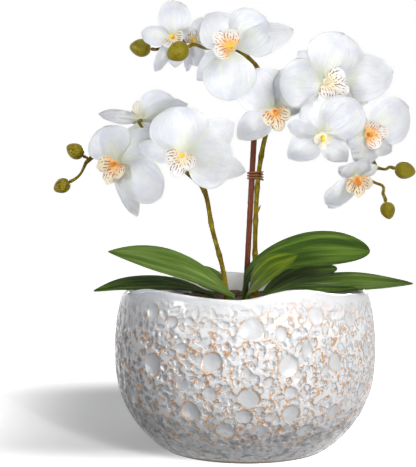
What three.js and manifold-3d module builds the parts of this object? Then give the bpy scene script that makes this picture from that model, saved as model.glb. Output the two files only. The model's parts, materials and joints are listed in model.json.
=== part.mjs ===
// An artificial white moth orchid planted in a round glazed stoneware pot with a cratered wall.
// Millimetres, +Z up. The origin is the centre of the pot's foot, on the table, and -Y is the front.
// Angles round the pot are azimuths: 0 is the front and 90 is the right-hand side, +X.

import * as THREE from "three";
import { mergeVertices } from "three/addons/utils/BufferGeometryUtils.js";
import Module from "manifold-3d";

const wasm = await Module();
wasm.setup();

// The gap left between pieces that touch, such as a bloom and its peg.
const SEAT_GAP = 0.3;

// How many flat sides stand for a round.
const STEM_SIDES = 8;
const STAKE_SIDES = 10;
const WIRE_SIDES = 6;
const PEDICEL_SIDES = 5;
const HUB_SIDES = 6;
const BORE_SIDES = 6;
const BUD_SIDES = 9;

// The pot.
const FOOT_RADIUS = 68;
const FOOT_CHAMFER = 3;
const BELLY_RADIUS = 107;
const BELLY_HEIGHT = 80;
const RIM_RADIUS = 101.5;
const RIM_MEAN_HEIGHT = 131;
const POT_WALL = 6;
const POT_FLOOR = 8;
const LOWER_CURVE_POWER = 2.5;
const LOWER_CURVE_ROOT = 0.92;

// Crests and dips of the rim: azimuth and height above or below the mean.
const RIM_WAVE = [
  [-88, -6],
  [-48, 4.5],
  [-5, 0],
  [20, 7],
  [50, 0.5],
  [88, -4],
  [128, 5],
  [158, 0],
  [196, 4],
  [234, -1.5],
];

// Large round craters pressed into the wall: azimuth, height and radius. The first list is the
// front, and the even scatter carries them round the back.
const CRATER_DEPTH = 1.9;
const FRONT_CRATERS = [
  [1, 110, 8.8],
  [-15, 85, 7.8],
  [16, 82, 8.1],
  [0, 58, 8.1],
  [-25, 46, 7.8],
  [18, 45, 7.4],
  [-10, 32, 7.2],
  [-43, 79, 8.3],
  [38, 82, 6.9],
  [-44, 118, 6.1],
  [29, 117, 6.7],
  [48, 112, 6.2],
  [-59, 106, 6.4],
  [-62, 50, 7.5],
  [61, 88, 6.5],
];
const BACK_CRATER_COUNT = 11;
const BACK_CRATER_START = 84;
const BACK_CRATER_TURN = 18;
const BACK_CRATER_HEIGHTS = [66, 28, 101, 48, 84];
const BACK_CRATER_RADII = [9, 8, 7, 8.5];

// The foam block that anchors the stems, and the bark filler on top of it. The bark is heaped a
// little against the pot's wall.
const FOAM_SIDE_GAP = 4;
const FOAM_TOP_RADIUS = 80;
const FILLER_SINK = 19;
const FILLER_THICKNESS = 9;
const FILLER_EDGE_THICKNESS = 5;
const FILLER_RIM_GAP = 3;
const FILLER_HEAP = 8;
const FILLER_HEAP_REACH = 0.87;

// Stems, stake, leaf stalks and tie.
const SPIKE_RADIUS = 2.3;
const BRANCH_RADIUS = 1.7;
const PEDICEL_RADIUS = 1.25;
const PEG_RADIUS = 1.0;
const STAKE_RADIUS = 2.5;
const STAKE_HEIGHT = 136;
const STALK_RADIUS = 1.6;
const ROOT_DEPTH = 42;
const PEDICEL_STRAIGHT = 4;
const PEDICEL_APPROACH = 9;
const PEG_ROOT = 1;
const TIE_WIRE_RADIUS = 0.75;
const TIE_TURNS = 3;
const TIE_PITCH = 2.2;
const TIE_HEIGHT = 91;

// A bloom's layers are stacked along the direction that it faces. A lobe is a sepal, a petal or a
// part of the lip. Its width follows peak, fullness and waist. Lift is how far its tip comes
// forward, as a share of its length, and cup how far its edges do, as a share of its half-width.
const LAYER_THICKNESS = 1.2;
const HUB_RADIUS = 3.4;
const PETAL = { peak: 1.05, fullness: 0.48, waist: 0.1, lift: -0.03, cup: -0.05 };
const SEPAL = { peak: 0.9, fullness: 0.72, waist: 0.1, lift: -0.16, cup: -0.03 };
const BROAD_SEPAL = { ...SEPAL, peak: PETAL.peak, fullness: PETAL.fullness };
const BROAD_SEPAL_HALF_WIDTH = 18;
const TONGUE = { peak: 1.3, fullness: 0.6, waist: 0.1, lift: 0.35, cup: -0.1 };
const WING = { peak: 1.1, fullness: 0.6, waist: 0.1, lift: 0.6, cup: 0.15 };
const TONGUE_SIZE = [17, 6.8];
const WING_SIZE = [13, 6.5];
const WING_SPREAD = 68;
const COLUMN_RADIUS = 2.5;
const COLUMN_LENGTH = 8;
const THROAT_RISE = 1;
const PEG_ENGAGEMENT = 2.2;

// Each bloom: the spike and node that carry it, its hub, the azimuth and elevation that it faces,
// the angle, length and half-width of each petal and sepal, the angle of its lip and the lip's
// size. Heights are above the mean rim. Angles are seen from the front: 0 is right and 90 is up.
const BLOOMS = [
  { name: "a", spike: "left", node: 5, hub: [-104, -8, 101.5], faces: [-24, -8], lip: -112, lipSize: 1,
    petals: [[114, 31, 21.5], [-30, 46.5, 19.5]], sepals: [[44, 40, 13], [-73, 46.5, 9], [108, 28, 10]] },
  { name: "b", spike: "left", node: 3, hub: [-49.5, -46, 107.5], faces: [-10, -3], lip: -108, lipSize: 1,
    petals: [[100, 38, 24], [-13, 40, 21.5]], sepals: [[170, 39, 9.5], [33, 46, 16], [-15, 50, 12]] },
  { name: "c", spike: "left", node: 4, hub: [-86, 18, 137], faces: [172, 12], lip: 105, lipSize: 0.9,
    petals: [[38, 33, 15.5], [-92, 34, 17]], sepals: [[171, 35, 6.5], [22, 43, 11], [-30, 26, 8]] },
  { name: "d", spike: "right", node: 9, hub: [-57.5, -14, 201.5], faces: [-12, 4], lip: -60, lipSize: 0.75,
    petals: [[90, 30, 13.5], [171, 27, 8.5]], sepals: [[-124, 31, 6], [-88, 23, 8.5], [40, 13, 5]] },
  { name: "e", spike: "right", node: 7, hub: [-11.7, -44, 190.5], faces: [-12, 6], lip: 142, lipSize: 1,
    petals: [[38, 35, 22], [-95, 41, 21.5]], sepals: [[16, 49, 13], [126, 36, 17], [-142, 37, 11]] },
  { name: "f", spike: "right", node: 3, hub: [22.5, -22, 143.5], faces: [5, -18], lip: -75, lipSize: 0.9,
    petals: [[50, 38, 20], [122, 38, 20]], sepals: [[-140, 37, 13], [88, 32, 11], [8, 26, 8]] },
  { name: "g", spike: "right", node: 10, hub: [62, -40, 164.5], faces: [9, 0], lip: -30, lipSize: 1.05,
    petals: [[67, 40, 24.5], [184, 37, 20]], sepals: [[7, 55, 19], [130, 32, 11], [-22, 39, 14]] },
  { name: "h", spike: "right", node: 11, hub: [58, -58, 123], faces: [-4, -22], lip: -90, lipSize: 0.55,
    petals: [[45, 38, 19], [163, 28, 8]], sepals: [[112, 30, 14], [-140, 34, 12.5], [-51, 31, 10.5]] },
  { name: "i", spike: "right", node: 12, hub: [94, -40.5, 124], faces: [14, -4], lip: 5, lipSize: 0.92,
    petals: [[29, 40, 19.5], [-163, 18, 13]], sepals: [[116, 24, 6], [-33, 27, 10], [-92, 27, 12]] },
  { name: "j", spike: "right", node: 14, hub: [85.5, -45, 91], faces: [10, -35], lip: -80, lipSize: 0.85,
    petals: [[104, 15, 11], [-129, 34, 10.5]], sepals: [[152, 16, 6], [60, 16, 8], [18, 19, 6]] },
  { name: "k", spike: "right", node: 8, hub: [-43.5, 2, 200.5], faces: [10, 0], lip: 90, lipSize: 0.55,
    petals: [[62, 21, 7], [-73, 21, 8]], sepals: [[15, 17, 6], [-98, 24, 4.5], [120, 15, 5]] },
];

// Each bud: its centre, the direction of its tip, its length, the node that carries it and the
// points of its stalk. Heights are above the mean rim.
const BUD_PLUMPNESS = 0.42;
const BUD_SOCKET = 3;
const BUDS = [
  { name: "bud_1", spike: "right", node: 9, at: [-86, 10, 196], tip: [-1, 0, 0.1], length: 18, stalk: [] },
  { name: "bud_2", spike: "right", node: 7, at: [-54, -36, 188.5], tip: [-0.8, -0.2, -0.4], length: 19,
    stalk: [[-29, 4, 195], [-34, -22, 193]] },
  { name: "bud_3", spike: "left", node: 7, at: [-141, 18, 111.5], tip: [-0.8, -0.1, 0.5], length: 16,
    stalk: [] },
  { name: "bud_4", spike: "left", node: 7, at: [-152, 16, 82.3], tip: [-0.85, 0, -0.45], length: 15,
    stalk: [[-137, 19, 92]] },
  { name: "bud_5", spike: "right", node: 15, at: [127, -25, 95.5], tip: [0.95, -0.05, -0.2], length: 17,
    stalk: [[112, -23, 96.5]] },
  { name: "bud_6", spike: "right", node: 15, at: [113.5, -25, 63.5], tip: [0.25, 0, -1], length: 14.5,
    stalk: [[98, -17, 90], [103, -20, 86], [110, -24, 82.5], [109.5, -25, 76]] },
];

// The two flower spikes. Heights are above the mean rim. Nodes are numbered along the main stem
// first and then along the branch.
const SPIKES = {
  left: {
    root: [-15, -4],
    stem: [
      [-17.2, -4, 10],
      [-26.6, -2, 46.6],
      [-34.4, 0, 81],
      [-47, 3, 93],
      [-68, 9, 110],
      [-96, 15, 112.5],
      [-120, 19, 111],
      [-132, 20, 102],
    ],
    branch: [],
  },
  right: {
    root: [8.7, 8],
    stem: [
      [8.9, 8, 46],
      [11.3, 7, 91],
      [17.4, 7, 125],
      [24.8, 8, 145],
      [22, 11, 161],
      [12, 14, 178],
      [0, 16, 191],
      [-18, 18, 200],
      [-40, 19, 203],
      [-56, 16, 201],
    ],
    branchFrom: 3,
    branch: [
      [45, 4, 147],
      [66, -2, 139],
      [82, -8, 127],
      [91, -14, 114.5],
      [99.5, -17, 107],
      [105.5, -19, 97.5],
    ],
  },
};

// Each leaf: where its wire stalk enters the filler, its half-width, where along it that is (a
// higher peak is nearer the tip), how far its front edge dips, how steeply its halves fold up, how
// blunt it is (a lower fullness is blunter), and its midrib. Heights are above the mean rim.
const LEAF_THICKNESS = 1.5;
const LEAF_BASE_HALF_WIDTH = 3;
const LEAF_FULLNESS = 0.8;
const LEAVES = [
  { name: "leaf_left_upper", root: [-8, -11], halfWidth: 14, peak: 1.05, dip: 50, fold: 0.15,
    midrib: [[-9, -12, -8], [-32, -25, 8], [-60, -42, 21.5], [-84, -50, 28.5], [-108, -55, 32.5]] },
  { name: "leaf_left_lower", root: [-23, -7], halfWidth: 9, peak: 1.2, dip: 36, fold: 0.1,
    midrib: [[-24, -7, -8], [-46, -12, 0], [-72, -17, 4], [-98, -22, 3.5], [-122, -26, -1.5]] },
  { name: "leaf_left_back", root: [-12, 14], halfWidth: 11, peak: 1, dip: 35, fold: 0.2,
    midrib: [[-13, 15, -10], [-22, 26, -2], [-38, 44, 5], [-56, 60, 7]] },
  { name: "leaf_right_large", root: [-1, -4], halfWidth: 16.5, peak: 1.6, dip: 58, fold: 0.1, fullness: 0.55,
    midrib: [[-1, -4, -8], [4, -7, 10], [18, -11, 21], [42, -18, 29], [70, -26, 32.5], [98.5, -33, 31]] },
  { name: "leaf_right_front", root: [1, -21], halfWidth: 15, peak: 0.85, dip: 45, fold: 0.12,
    midrib: [[1, -21, -9], [7, -28, 5], [21, -34, 18], [41, -39, 28]] },
  { name: "leaf_right_back", root: [15, 18], halfWidth: 12, peak: 1, dip: 35, fold: 0.1, fullness: 0.55,
    midrib: [[16, 18, -9], [38, 21, 3], [60, 25, 10], [79, 28, 12]] },
  { name: "leaf_right_long", root: [19, 1], halfWidth: 10, peak: 1.1, dip: 42, fold: 0.1,
    midrib: [[20, 1, -8], [38, -4, 0], [58, -9, 3], [90, -16, 5], [117, -22, 4.6], [134, -27, 4.6]] },
  { name: "leaf_right_short", root: [15, -13], halfWidth: 7.5, peak: 1, dip: 35, fold: 0.12,
    midrib: [[16, -13, -8], [36, -24, -2], [60, -34, 0.5], [88, -46, 2.5]] },
];

const material = (color, roughness) => new THREE.MeshStandardMaterial({ color, roughness });
const GLAZE = material(0xdfe3e3, 0.22);
const FOAM = material(0x4e6b45, 0.95);
const BARK = material(0x3a2a1e, 0.95);
const STEM_GREEN = material(0x8a7a1f, 0.5);
const STAKE_BROWN = material(0x733625, 0.55);
const TIE_BROWN = material(0x6a3218, 0.6);
const LEAF_GREEN = material(0x4f7a2b, 0.5);
const SEPAL_WHITE = material(0xeceef2, 0.6);
const PETAL_WHITE = material(0xf4f5f9, 0.6);
const LIP_CREAM = material(0xf3dcc0, 0.55);
const BUD_GREEN = material(0x7d7a1a, 0.45);

const object = new THREE.Group();
const radians = THREE.MathUtils.degToRad;
const clamp = THREE.MathUtils.clamp;
const vector = (point) => new THREE.Vector3(...point);
const overRim = ([x, y, height]) => [x, y, RIM_MEAN_HEIGHT + height];

function addPiece(name, geometry, finish) {
  const mesh = new THREE.Mesh(geometry, finish);
  mesh.name = name;
  object.add(mesh);
}

// A closed geometry as a solid that can be joined and cut.
function solidOf(geometry) {
  const bare = geometry.clone();
  bare.deleteAttribute("normal");
  bare.deleteAttribute("uv");
  const merged = mergeVertices(bare, 1e-4);
  return new wasm.Manifold(
    new wasm.Mesh({
      numProp: 3,
      vertProperties: merged.attributes.position.array,
      triVerts: new Uint32Array(merged.index.array),
    }),
  );
}

function geometryOf(solid) {
  const mesh = solid.getMesh();
  const geometry = new THREE.BufferGeometry();
  geometry.setAttribute("position", new THREE.BufferAttribute(mesh.vertProperties, 3));
  geometry.setIndex(new THREE.BufferAttribute(mesh.triVerts, 1));
  return geometry;
}

const joined = (solids) => solids.reduce((whole, next) => whole.add(next));

// A shape turned about the vertical axis from its outline of radius and height.
function turned(outline, sides) {
  const geometry = new THREE.LatheGeometry(
    outline.map(([radius, height]) => new THREE.Vector2(radius, height)),
    sides,
  );
  return geometry.rotateX(Math.PI / 2);
}

// A rod between two points.
function rod(from, to, radius, sides) {
  const along = vector(to).sub(vector(from));
  const geometry = new THREE.CylinderGeometry(radius, radius, along.length(), sides);
  const upright = new THREE.Vector3(0, 1, 0);
  geometry.applyQuaternion(new THREE.Quaternion().setFromUnitVectors(upright, along.clone().normalize()));
  const middle = vector(from).addScaledVector(along, 0.5);
  return solidOf(geometry.translate(middle.x, middle.y, middle.z));
}

// A hole whose flat sides all clear a round peg of the radius by the seat gap.
const boreRadius = (radius) => (radius + SEAT_GAP) / Math.cos(Math.PI / BORE_SIDES);
const boreFor = (from, to, radius) => rod(from, to, boreRadius(radius), BORE_SIDES);

// A round tube along a smooth curve through the points.
function tube(points, radius, sides, steps) {
  const section = new THREE.Shape();
  for (let i = 0; i < sides; i++) {
    const angle = (2 * Math.PI * i) / sides;
    const corner = [radius * Math.cos(angle), radius * Math.sin(angle)];
    if (i === 0) section.moveTo(...corner);
    else section.lineTo(...corner);
  }
  const extrudePath = new THREE.CatmullRomCurve3(points.map(vector));
  return solidOf(new THREE.ExtrudeGeometry(section, { steps, bevelEnabled: false, extrudePath }));
}

// A thin sheet of even thickness about a curved surface. surface(u, v) gives a point for u from 0
// to 1 along the sheet and v from -1 to 1 across it.
function sheet(surface, alongSteps, acrossSteps, thickness) {
  const NUDGE = 1e-3;
  const positions = [];
  for (const side of [0.5, -0.5]) {
    for (let i = 0; i <= alongSteps; i++) {
      for (let j = 0; j <= acrossSteps; j++) {
        const u = i / alongSteps;
        const v = (2 * j) / acrossSteps - 1;
        const along = surface(u + NUDGE, v).sub(surface(u - NUDGE, v));
        const across = surface(u, v + NUDGE).sub(surface(u, v - NUDGE));
        const normal = along.cross(across).normalize();
        positions.push(...surface(u, v).addScaledVector(normal, side * thickness));
      }
    }
  }
  const row = acrossSteps + 1;
  const layer = row * (alongSteps + 1);
  const index = [];
  const quad = (a, b, c, d) => index.push(a, b, c, a, c, d);
  for (let i = 0; i < alongSteps; i++) {
    const left = i * row;
    const right = left + acrossSteps;
    for (let a = left; a < right; a++) {
      quad(a, a + row, a + row + 1, a + 1);
      quad(layer + a, layer + a + 1, layer + a + row + 1, layer + a + row);
    }
    quad(left, layer + left, layer + left + row, left + row);
    quad(right, right + row, layer + right + row, layer + right);
  }
  for (let base = 0; base < acrossSteps; base++) {
    const tip = alongSteps * row + base;
    quad(base, base + 1, layer + base + 1, layer + base);
    quad(tip, layer + tip, layer + tip + 1, tip + 1);
  }
  const geometry = new THREE.BufferGeometry();
  geometry.setAttribute("position", new THREE.Float32BufferAttribute(positions, 3));
  geometry.setIndex(index);
  return solidOf(geometry);
}

// Height of the rim at an azimuth, easing between the crests and dips.
function rimHeight(azimuth) {
  const [firstAngle, firstRise] = RIM_WAVE[0];
  const stops = [...RIM_WAVE, [firstAngle + 360, firstRise]];
  const wrapped = THREE.MathUtils.euclideanModulo(azimuth - firstAngle, 360) + firstAngle;
  const next = stops.findIndex(([angle]) => angle > wrapped);
  const [fromAngle, fromRise] = stops[next - 1];
  const [toAngle, toRise] = stops[next];
  const share = (wrapped - fromAngle) / (toAngle - fromAngle);
  const eased = (1 - Math.cos(Math.PI * share)) / 2;
  return RIM_MEAN_HEIGHT + fromRise + (toRise - fromRise) * eased;
}

// Radius of the pot's outer wall at a height below a level rim.
function wallRadius(height) {
  if (height < BELLY_HEIGHT) {
    const below = (BELLY_HEIGHT - height) / BELLY_HEIGHT;
    const swell = (1 - below ** LOWER_CURVE_POWER) ** LOWER_CURVE_ROOT;
    return FOOT_RADIUS + (BELLY_RADIUS - FOOT_RADIUS) * swell;
  }
  const above = (height - BELLY_HEIGHT) / (RIM_MEAN_HEIGHT - BELLY_HEIGHT);
  return BELLY_RADIUS - (BELLY_RADIUS - RIM_RADIUS) * above ** 2;
}

// How far the wall leans in above a height, as an angle. It is below zero under the belly.
function wallLean(height) {
  const STEP = 0.5;
  return Math.atan2(wallRadius(height - STEP) - wallRadius(height + STEP), 2 * STEP);
}

const innerRadius = (height) => wallRadius(height) - POT_WALL / Math.cos(wallLean(height));

function potOutline() {
  const LOWER_STEPS = 6;
  const UPPER_STEPS = 3;
  const LIP_STEPS = 4;
  const outer = [];
  const inner = [];
  for (let i = 0; i <= LOWER_STEPS; i++) {
    const share = (i / LOWER_STEPS) ** 1.4;
    const height = FOOT_CHAMFER + (BELLY_HEIGHT - FOOT_CHAMFER) * share;
    const heightInside = POT_FLOOR + (BELLY_HEIGHT - POT_FLOOR) * share;
    outer.push([wallRadius(height), height]);
    inner.push([innerRadius(heightInside), heightInside]);
  }
  const lipRadius = POT_WALL / 2;
  const lipHeight = RIM_MEAN_HEIGHT - lipRadius;
  for (let i = 1; i <= UPPER_STEPS; i++) {
    const height = BELLY_HEIGHT + ((lipHeight - BELLY_HEIGHT) * i) / UPPER_STEPS;
    outer.push([wallRadius(height), height]);
    inner.push([wallRadius(height) - POT_WALL, height]);
  }
  const lip = [];
  for (let i = 1; i < LIP_STEPS; i++) {
    const angle = (Math.PI * i) / LIP_STEPS;
    lip.push([
      wallRadius(lipHeight) - lipRadius + lipRadius * Math.cos(angle),
      lipHeight + lipRadius * Math.sin(angle),
    ]);
  }
  return [[0, 0], [FOOT_RADIUS, 0], ...outer, ...lip, ...inner.reverse(), [0, POT_FLOOR]];
}

// The round-bottomed shape that presses one crater into the wall.
function craterPress([azimuth, height, radius]) {
  const SIDES = 8;
  const HANDLE = 3;
  const press = turned(
    [
      [0, -CRATER_DEPTH],
      [radius * 0.6, -CRATER_DEPTH * 0.72],
      [radius, 0],
      [radius * 1.12, HANDLE],
      [0, HANDLE],
    ],
    SIDES,
  );
  const angle = radians(azimuth);
  const lean = wallLean(height);
  const outward = new THREE.Vector3(Math.sin(angle), -Math.cos(angle), 0);
  const facing = outward.clone().multiplyScalar(Math.cos(lean)).setZ(Math.sin(lean));
  press.applyQuaternion(new THREE.Quaternion().setFromUnitVectors(new THREE.Vector3(0, 0, 1), facing));
  const seat = outward.multiplyScalar(wallRadius(height)).setZ(height);
  return solidOf(press.translate(seat.x, seat.y, seat.z));
}

function pot() {
  const AROUND = 34;
  const shape = turned(potOutline(), AROUND);
  const position = shape.attributes.position;
  for (let i = 0; i < position.count; i++) {
    const height = position.getZ(i);
    if (height > BELLY_HEIGHT) {
      const azimuth = THREE.MathUtils.radToDeg(Math.atan2(position.getX(i), -position.getY(i)));
      const stretch = (rimHeight(azimuth) - BELLY_HEIGHT) / (RIM_MEAN_HEIGHT - BELLY_HEIGHT);
      position.setZ(i, BELLY_HEIGHT + (height - BELLY_HEIGHT) * stretch);
    }
  }
  const backCraters = Array.from({ length: BACK_CRATER_COUNT }, (_, i) => [
    BACK_CRATER_START + i * BACK_CRATER_TURN,
    BACK_CRATER_HEIGHTS[i % BACK_CRATER_HEIGHTS.length],
    BACK_CRATER_RADII[i % BACK_CRATER_RADII.length],
  ]);
  const presses = [...FRONT_CRATERS, ...backCraters].map(craterPress);
  return geometryOf(solidOf(shape).subtract(joined(presses)));
}

// The planting stands on the pot's floor, and its filler ends a little below the rim.
const FILLER_TOP = RIM_MEAN_HEIGHT - FILLER_SINK;
const FILLER_BASE = FILLER_TOP - FILLER_THICKNESS;
const FOAM_BASE = POT_FLOOR + SEAT_GAP;
const FOAM_TOP = FILLER_BASE - SEAT_GAP;
const ROOT_END = FILLER_TOP - ROOT_DEPTH;
const ROOT_COLLAR = 1.6;

const STAKE = { root: [0.4, 8], atTie: [6, 7] };
const ROOTS = [
  ...Object.values(SPIKES).map(({ root }) => [...root, SPIKE_RADIUS]),
  ...LEAVES.map(({ root }) => [...root, STALK_RADIUS]),
  [...STAKE.root, STAKE_RADIUS],
];

const withRootHoles = (solid) =>
  ROOTS.reduce(
    (rest, [x, y, radius]) =>
      rest.subtract(boreFor([x, y, ROOT_END - SEAT_GAP], [x, y, FILLER_TOP + 10], radius)),
    solid,
  );

function foamBlock() {
  const outline = [
    [0, FOAM_BASE],
    [innerRadius(POT_FLOOR) - FOAM_SIDE_GAP, FOAM_BASE],
    [FOAM_TOP_RADIUS, FOAM_TOP],
    [0, FOAM_TOP],
  ];
  return geometryOf(withRootHoles(solidOf(turned(outline, 14))));
}

function barkFiller() {
  const mouthRadius = RIM_RADIUS - POT_WALL;
  const narrowest = Math.min(mouthRadius, innerRadius(FILLER_BASE), innerRadius(FILLER_TOP));
  const radius = narrowest - FILLER_RIM_GAP;
  const outline = [
    [0, FILLER_BASE],
    [radius, FILLER_BASE],
    [radius, FILLER_TOP - FILLER_THICKNESS + FILLER_EDGE_THICKNESS + FILLER_HEAP],
    [radius * FILLER_HEAP_REACH, FILLER_TOP + FILLER_HEAP],
    [0, FILLER_TOP],
  ];
  return geometryOf(withRootHoles(solidOf(turned(outline, 18))));
}

// The turn that carries a bloom's own frame to its place. In that frame the bloom faces +Z, and
// for a bloom that faces the front, +X is right and +Y is up.
function bloomPlacement({ hub, faces }) {
  const [azimuth, elevation] = faces.map(radians);
  const level = Math.cos(elevation);
  const facing = new THREE.Vector3(
    Math.sin(azimuth) * level,
    -Math.cos(azimuth) * level,
    Math.sin(elevation),
  );
  const right = new THREE.Vector3(1, 0, 0).addScaledVector(facing, -facing.x).normalize();
  const up = new THREE.Vector3().crossVectors(facing, right);
  return new THREE.Matrix4().makeBasis(right, up, facing).setPosition(...overRim(hub));
}

// Half the width of a lobe at a share u of its length.
function lobeHalfWidth(lobe, halfWidth, u) {
  const TIP_SHARE = 0.975;
  const CLAW = 1.1;
  const reached = clamp(u, 0, 1) * TIP_SHARE;
  const body = Math.sin(Math.PI * reached ** lobe.peak) ** lobe.fullness;
  const waist = 1 - Math.exp(-((reached / lobe.waist) ** 1.3));
  return CLAW + (halfWidth - CLAW) * body * waist;
}

// One petal, sepal or part of the lip, growing from the hub at an angle in the bloom's own frame.
function lobeSheet(lobe, [angle, length, halfWidth], level, alongSteps) {
  const start = boreRadius(PEG_RADIUS) + 0.2;
  const outward = new THREE.Vector3(Math.cos(radians(angle)), Math.sin(radians(angle)), 0);
  const across = new THREE.Vector3(-outward.y, outward.x, 0);
  const surface = (u, v) => {
    const side = lobeHalfWidth(lobe, halfWidth, u) * v;
    const point = outward.clone().multiplyScalar(start + (length - start) * u);
    point.addScaledVector(across, side);
    point.z = level + lobe.lift * length * u ** 2 + (lobe.cup * side ** 2) / halfWidth;
    return point;
  };
  return sheet(surface, alongSteps, 2, LAYER_THICKNESS);
}

const SEPAL_LEVEL = 0;
const PETAL_LEVEL = SEPAL_LEVEL + LAYER_THICKNESS + 1.3 * SEAT_GAP;
const LIP_LEVEL = PETAL_LEVEL + LAYER_THICKNESS + 1.3 * SEAT_GAP;
const PEG_TIP = LIP_LEVEL + PEG_ENGAGEMENT;

function lobedLayer(lobe, lobes, level, alongSteps) {
  const HUB_INSET = 0.1;
  const half = LAYER_THICKNESS / 2 - HUB_INSET;
  const hub = rod([0, 0, level - half], [0, 0, level + half], HUB_RADIUS, HUB_SIDES);
  const formOf = ([, , halfWidth]) =>
    lobe === SEPAL && halfWidth >= BROAD_SEPAL_HALF_WIDTH ? BROAD_SEPAL : lobe;
  const sheets = lobes.map((size) => lobeSheet(formOf(size), size, level, alongSteps));
  return joined([hub, ...sheets]).subtract(boreFor([0, 0, level - 5], [0, 0, level + 5], PEG_RADIUS));
}

function addBloom(bloom) {
  const placement = bloomPlacement(bloom);
  const facesBack = Math.abs(bloom.faces[0]) > 90;
  const inOwnFrame = ([angle, length, halfWidth]) => [facesBack ? -angle : angle, length, halfWidth];
  const addPart = (part, solid, finish) =>
    addPiece(`bloom_${bloom.name}_${part}`, geometryOf(solid).applyMatrix4(placement), finish);

  const sepals = bloom.sepals.map(inOwnFrame);
  const petals = bloom.petals.map(inOwnFrame);
  addPart("sepals", lobedLayer(SEPAL, sepals, SEPAL_LEVEL, 3), SEPAL_WHITE);
  addPart("petals", lobedLayer(PETAL, petals, PETAL_LEVEL, 5), PETAL_WHITE);

  const [lipAngle] = inOwnFrame([bloom.lip]);
  const lipLobe = (lobe, [length, halfWidth], spread, steps) => {
    const size = [lipAngle + spread, length * bloom.lipSize, halfWidth * bloom.lipSize];
    return lobeSheet(lobe, size, LIP_LEVEL, steps);
  };
  const lobes = [
    lipLobe(TONGUE, TONGUE_SIZE, 0, 3),
    lipLobe(WING, WING_SIZE, -WING_SPREAD, 2),
    lipLobe(WING, WING_SIZE, WING_SPREAD, 2),
  ];
  const columnBase = LIP_LEVEL - LAYER_THICKNESS / 2 - 0.05;
  const column = rod([0, 0, columnBase], [0, 0, LIP_LEVEL + COLUMN_LENGTH], COLUMN_RADIUS, HUB_SIDES);
  const throat = rod([0, 0, columnBase], [0, 0, LIP_LEVEL + THROAT_RISE], HUB_RADIUS, HUB_SIDES);
  const socket = boreFor([0, 0, columnBase - 1], [0, 0, PEG_TIP + SEAT_GAP], PEG_RADIUS);
  addPart("lip", joined([column, throat, ...lobes]).subtract(socket), LIP_CREAM);
}

function nodePoint(spike, number) {
  return overRim([...spike.stem, ...spike.branch][number]);
}

// The curved pedicel and straight peg that carry one bloom.
function bloomPedicel(spike, bloom) {
  const placement = bloomPlacement(bloom);
  const along = (distance) => new THREE.Vector3(0, 0, distance).applyMatrix4(placement).toArray();
  const shoulder = SEPAL_LEVEL - LAYER_THICKNESS / 2 - SEAT_GAP;
  const points = [
    nodePoint(spike, bloom.node),
    along(shoulder - PEDICEL_APPROACH),
    along(shoulder - PEDICEL_STRAIGHT),
    along(shoulder),
  ];
  const peg = rod(along(shoulder - PEG_ROOT), along(PEG_TIP), PEG_RADIUS, WIRE_SIDES);
  return tube(points, PEDICEL_RADIUS, PEDICEL_SIDES, 4).add(peg);
}

const budPlacement = ({ at, tip }) =>
  new THREE.Matrix4().compose(
    vector(overRim(at)),
    new THREE.Quaternion().setFromUnitVectors(new THREE.Vector3(0, 0, 1), vector(tip).normalize()),
    new THREE.Vector3(1, 1, 1),
  );

function addBud(bud) {
  const half = bud.length / 2;
  const radius = bud.length * BUD_PLUMPNESS;
  const outline = [
    [0, -half],
    [radius * 0.45, -half * 0.94],
    [radius * 0.88, -half * 0.55],
    [radius, -half * 0.05],
    [radius * 0.8, half * 0.45],
    [radius * 0.4, half * 0.82],
    [0, half],
  ];
  const socket = boreFor([0, 0, -half - 5], [0, 0, -half + BUD_SOCKET + SEAT_GAP], PEG_RADIUS);
  const solid = solidOf(turned(outline, BUD_SIDES)).subtract(socket);
  addPiece(bud.name, geometryOf(solid).applyMatrix4(budPlacement(bud)), BUD_GREEN);
}

function budPedicel(spike, bud) {
  const placement = budPlacement(bud);
  const along = (distance) => new THREE.Vector3(0, 0, distance).applyMatrix4(placement).toArray();
  const shoulder = -bud.length / 2 - SEAT_GAP;
  const start = nodePoint(spike, bud.node);
  const bend = bud.stalk.map(overRim);
  const points = [start, ...bend, along(shoulder - PEDICEL_STRAIGHT), along(shoulder)];
  const pegEnd = -bud.length / 2 + BUD_SOCKET;
  const peg = rod(along(shoulder - PEG_ROOT), along(pegEnd), PEG_RADIUS, WIRE_SIDES);
  const steps = 3 + 2 * bend.length;
  return tube(points, PEDICEL_RADIUS, PEDICEL_SIDES, steps).add(peg);
}

function flowerSpike(side) {
  const spike = SPIKES[side];
  const [x, y] = spike.root;
  const stem = spike.stem.map(overRim);
  const collar = FILLER_TOP + ROOT_COLLAR;
  const parts = [rod([x, y, ROOT_END], [x, y, collar + 1], SPIKE_RADIUS, STEM_SIDES)];
  parts.push(tube([[x, y, collar], ...stem], SPIKE_RADIUS, STEM_SIDES, 18));
  if (spike.branch.length > 0) {
    const branch = [stem[spike.branchFrom], ...spike.branch.map(overRim)];
    parts.push(tube(branch, BRANCH_RADIUS, WIRE_SIDES, 9));
  }
  const carried = (item) => item.spike === side;
  for (const bloom of BLOOMS.filter(carried)) parts.push(bloomPedicel(spike, bloom));
  for (const bud of BUDS.filter(carried)) parts.push(budPedicel(spike, bud));
  return geometryOf(joined(parts));
}

function leafHalfWidth(leaf, u) {
  const TIP_SHARE = 0.985;
  const reached = clamp(u, 0, 1) * TIP_SHARE;
  const body = leaf.halfWidth * Math.sin(Math.PI * reached ** leaf.peak) ** (leaf.fullness ?? LEAF_FULLNESS);
  return Math.max(body, LEAF_BASE_HALF_WIDTH * (1 - reached));
}

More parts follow.
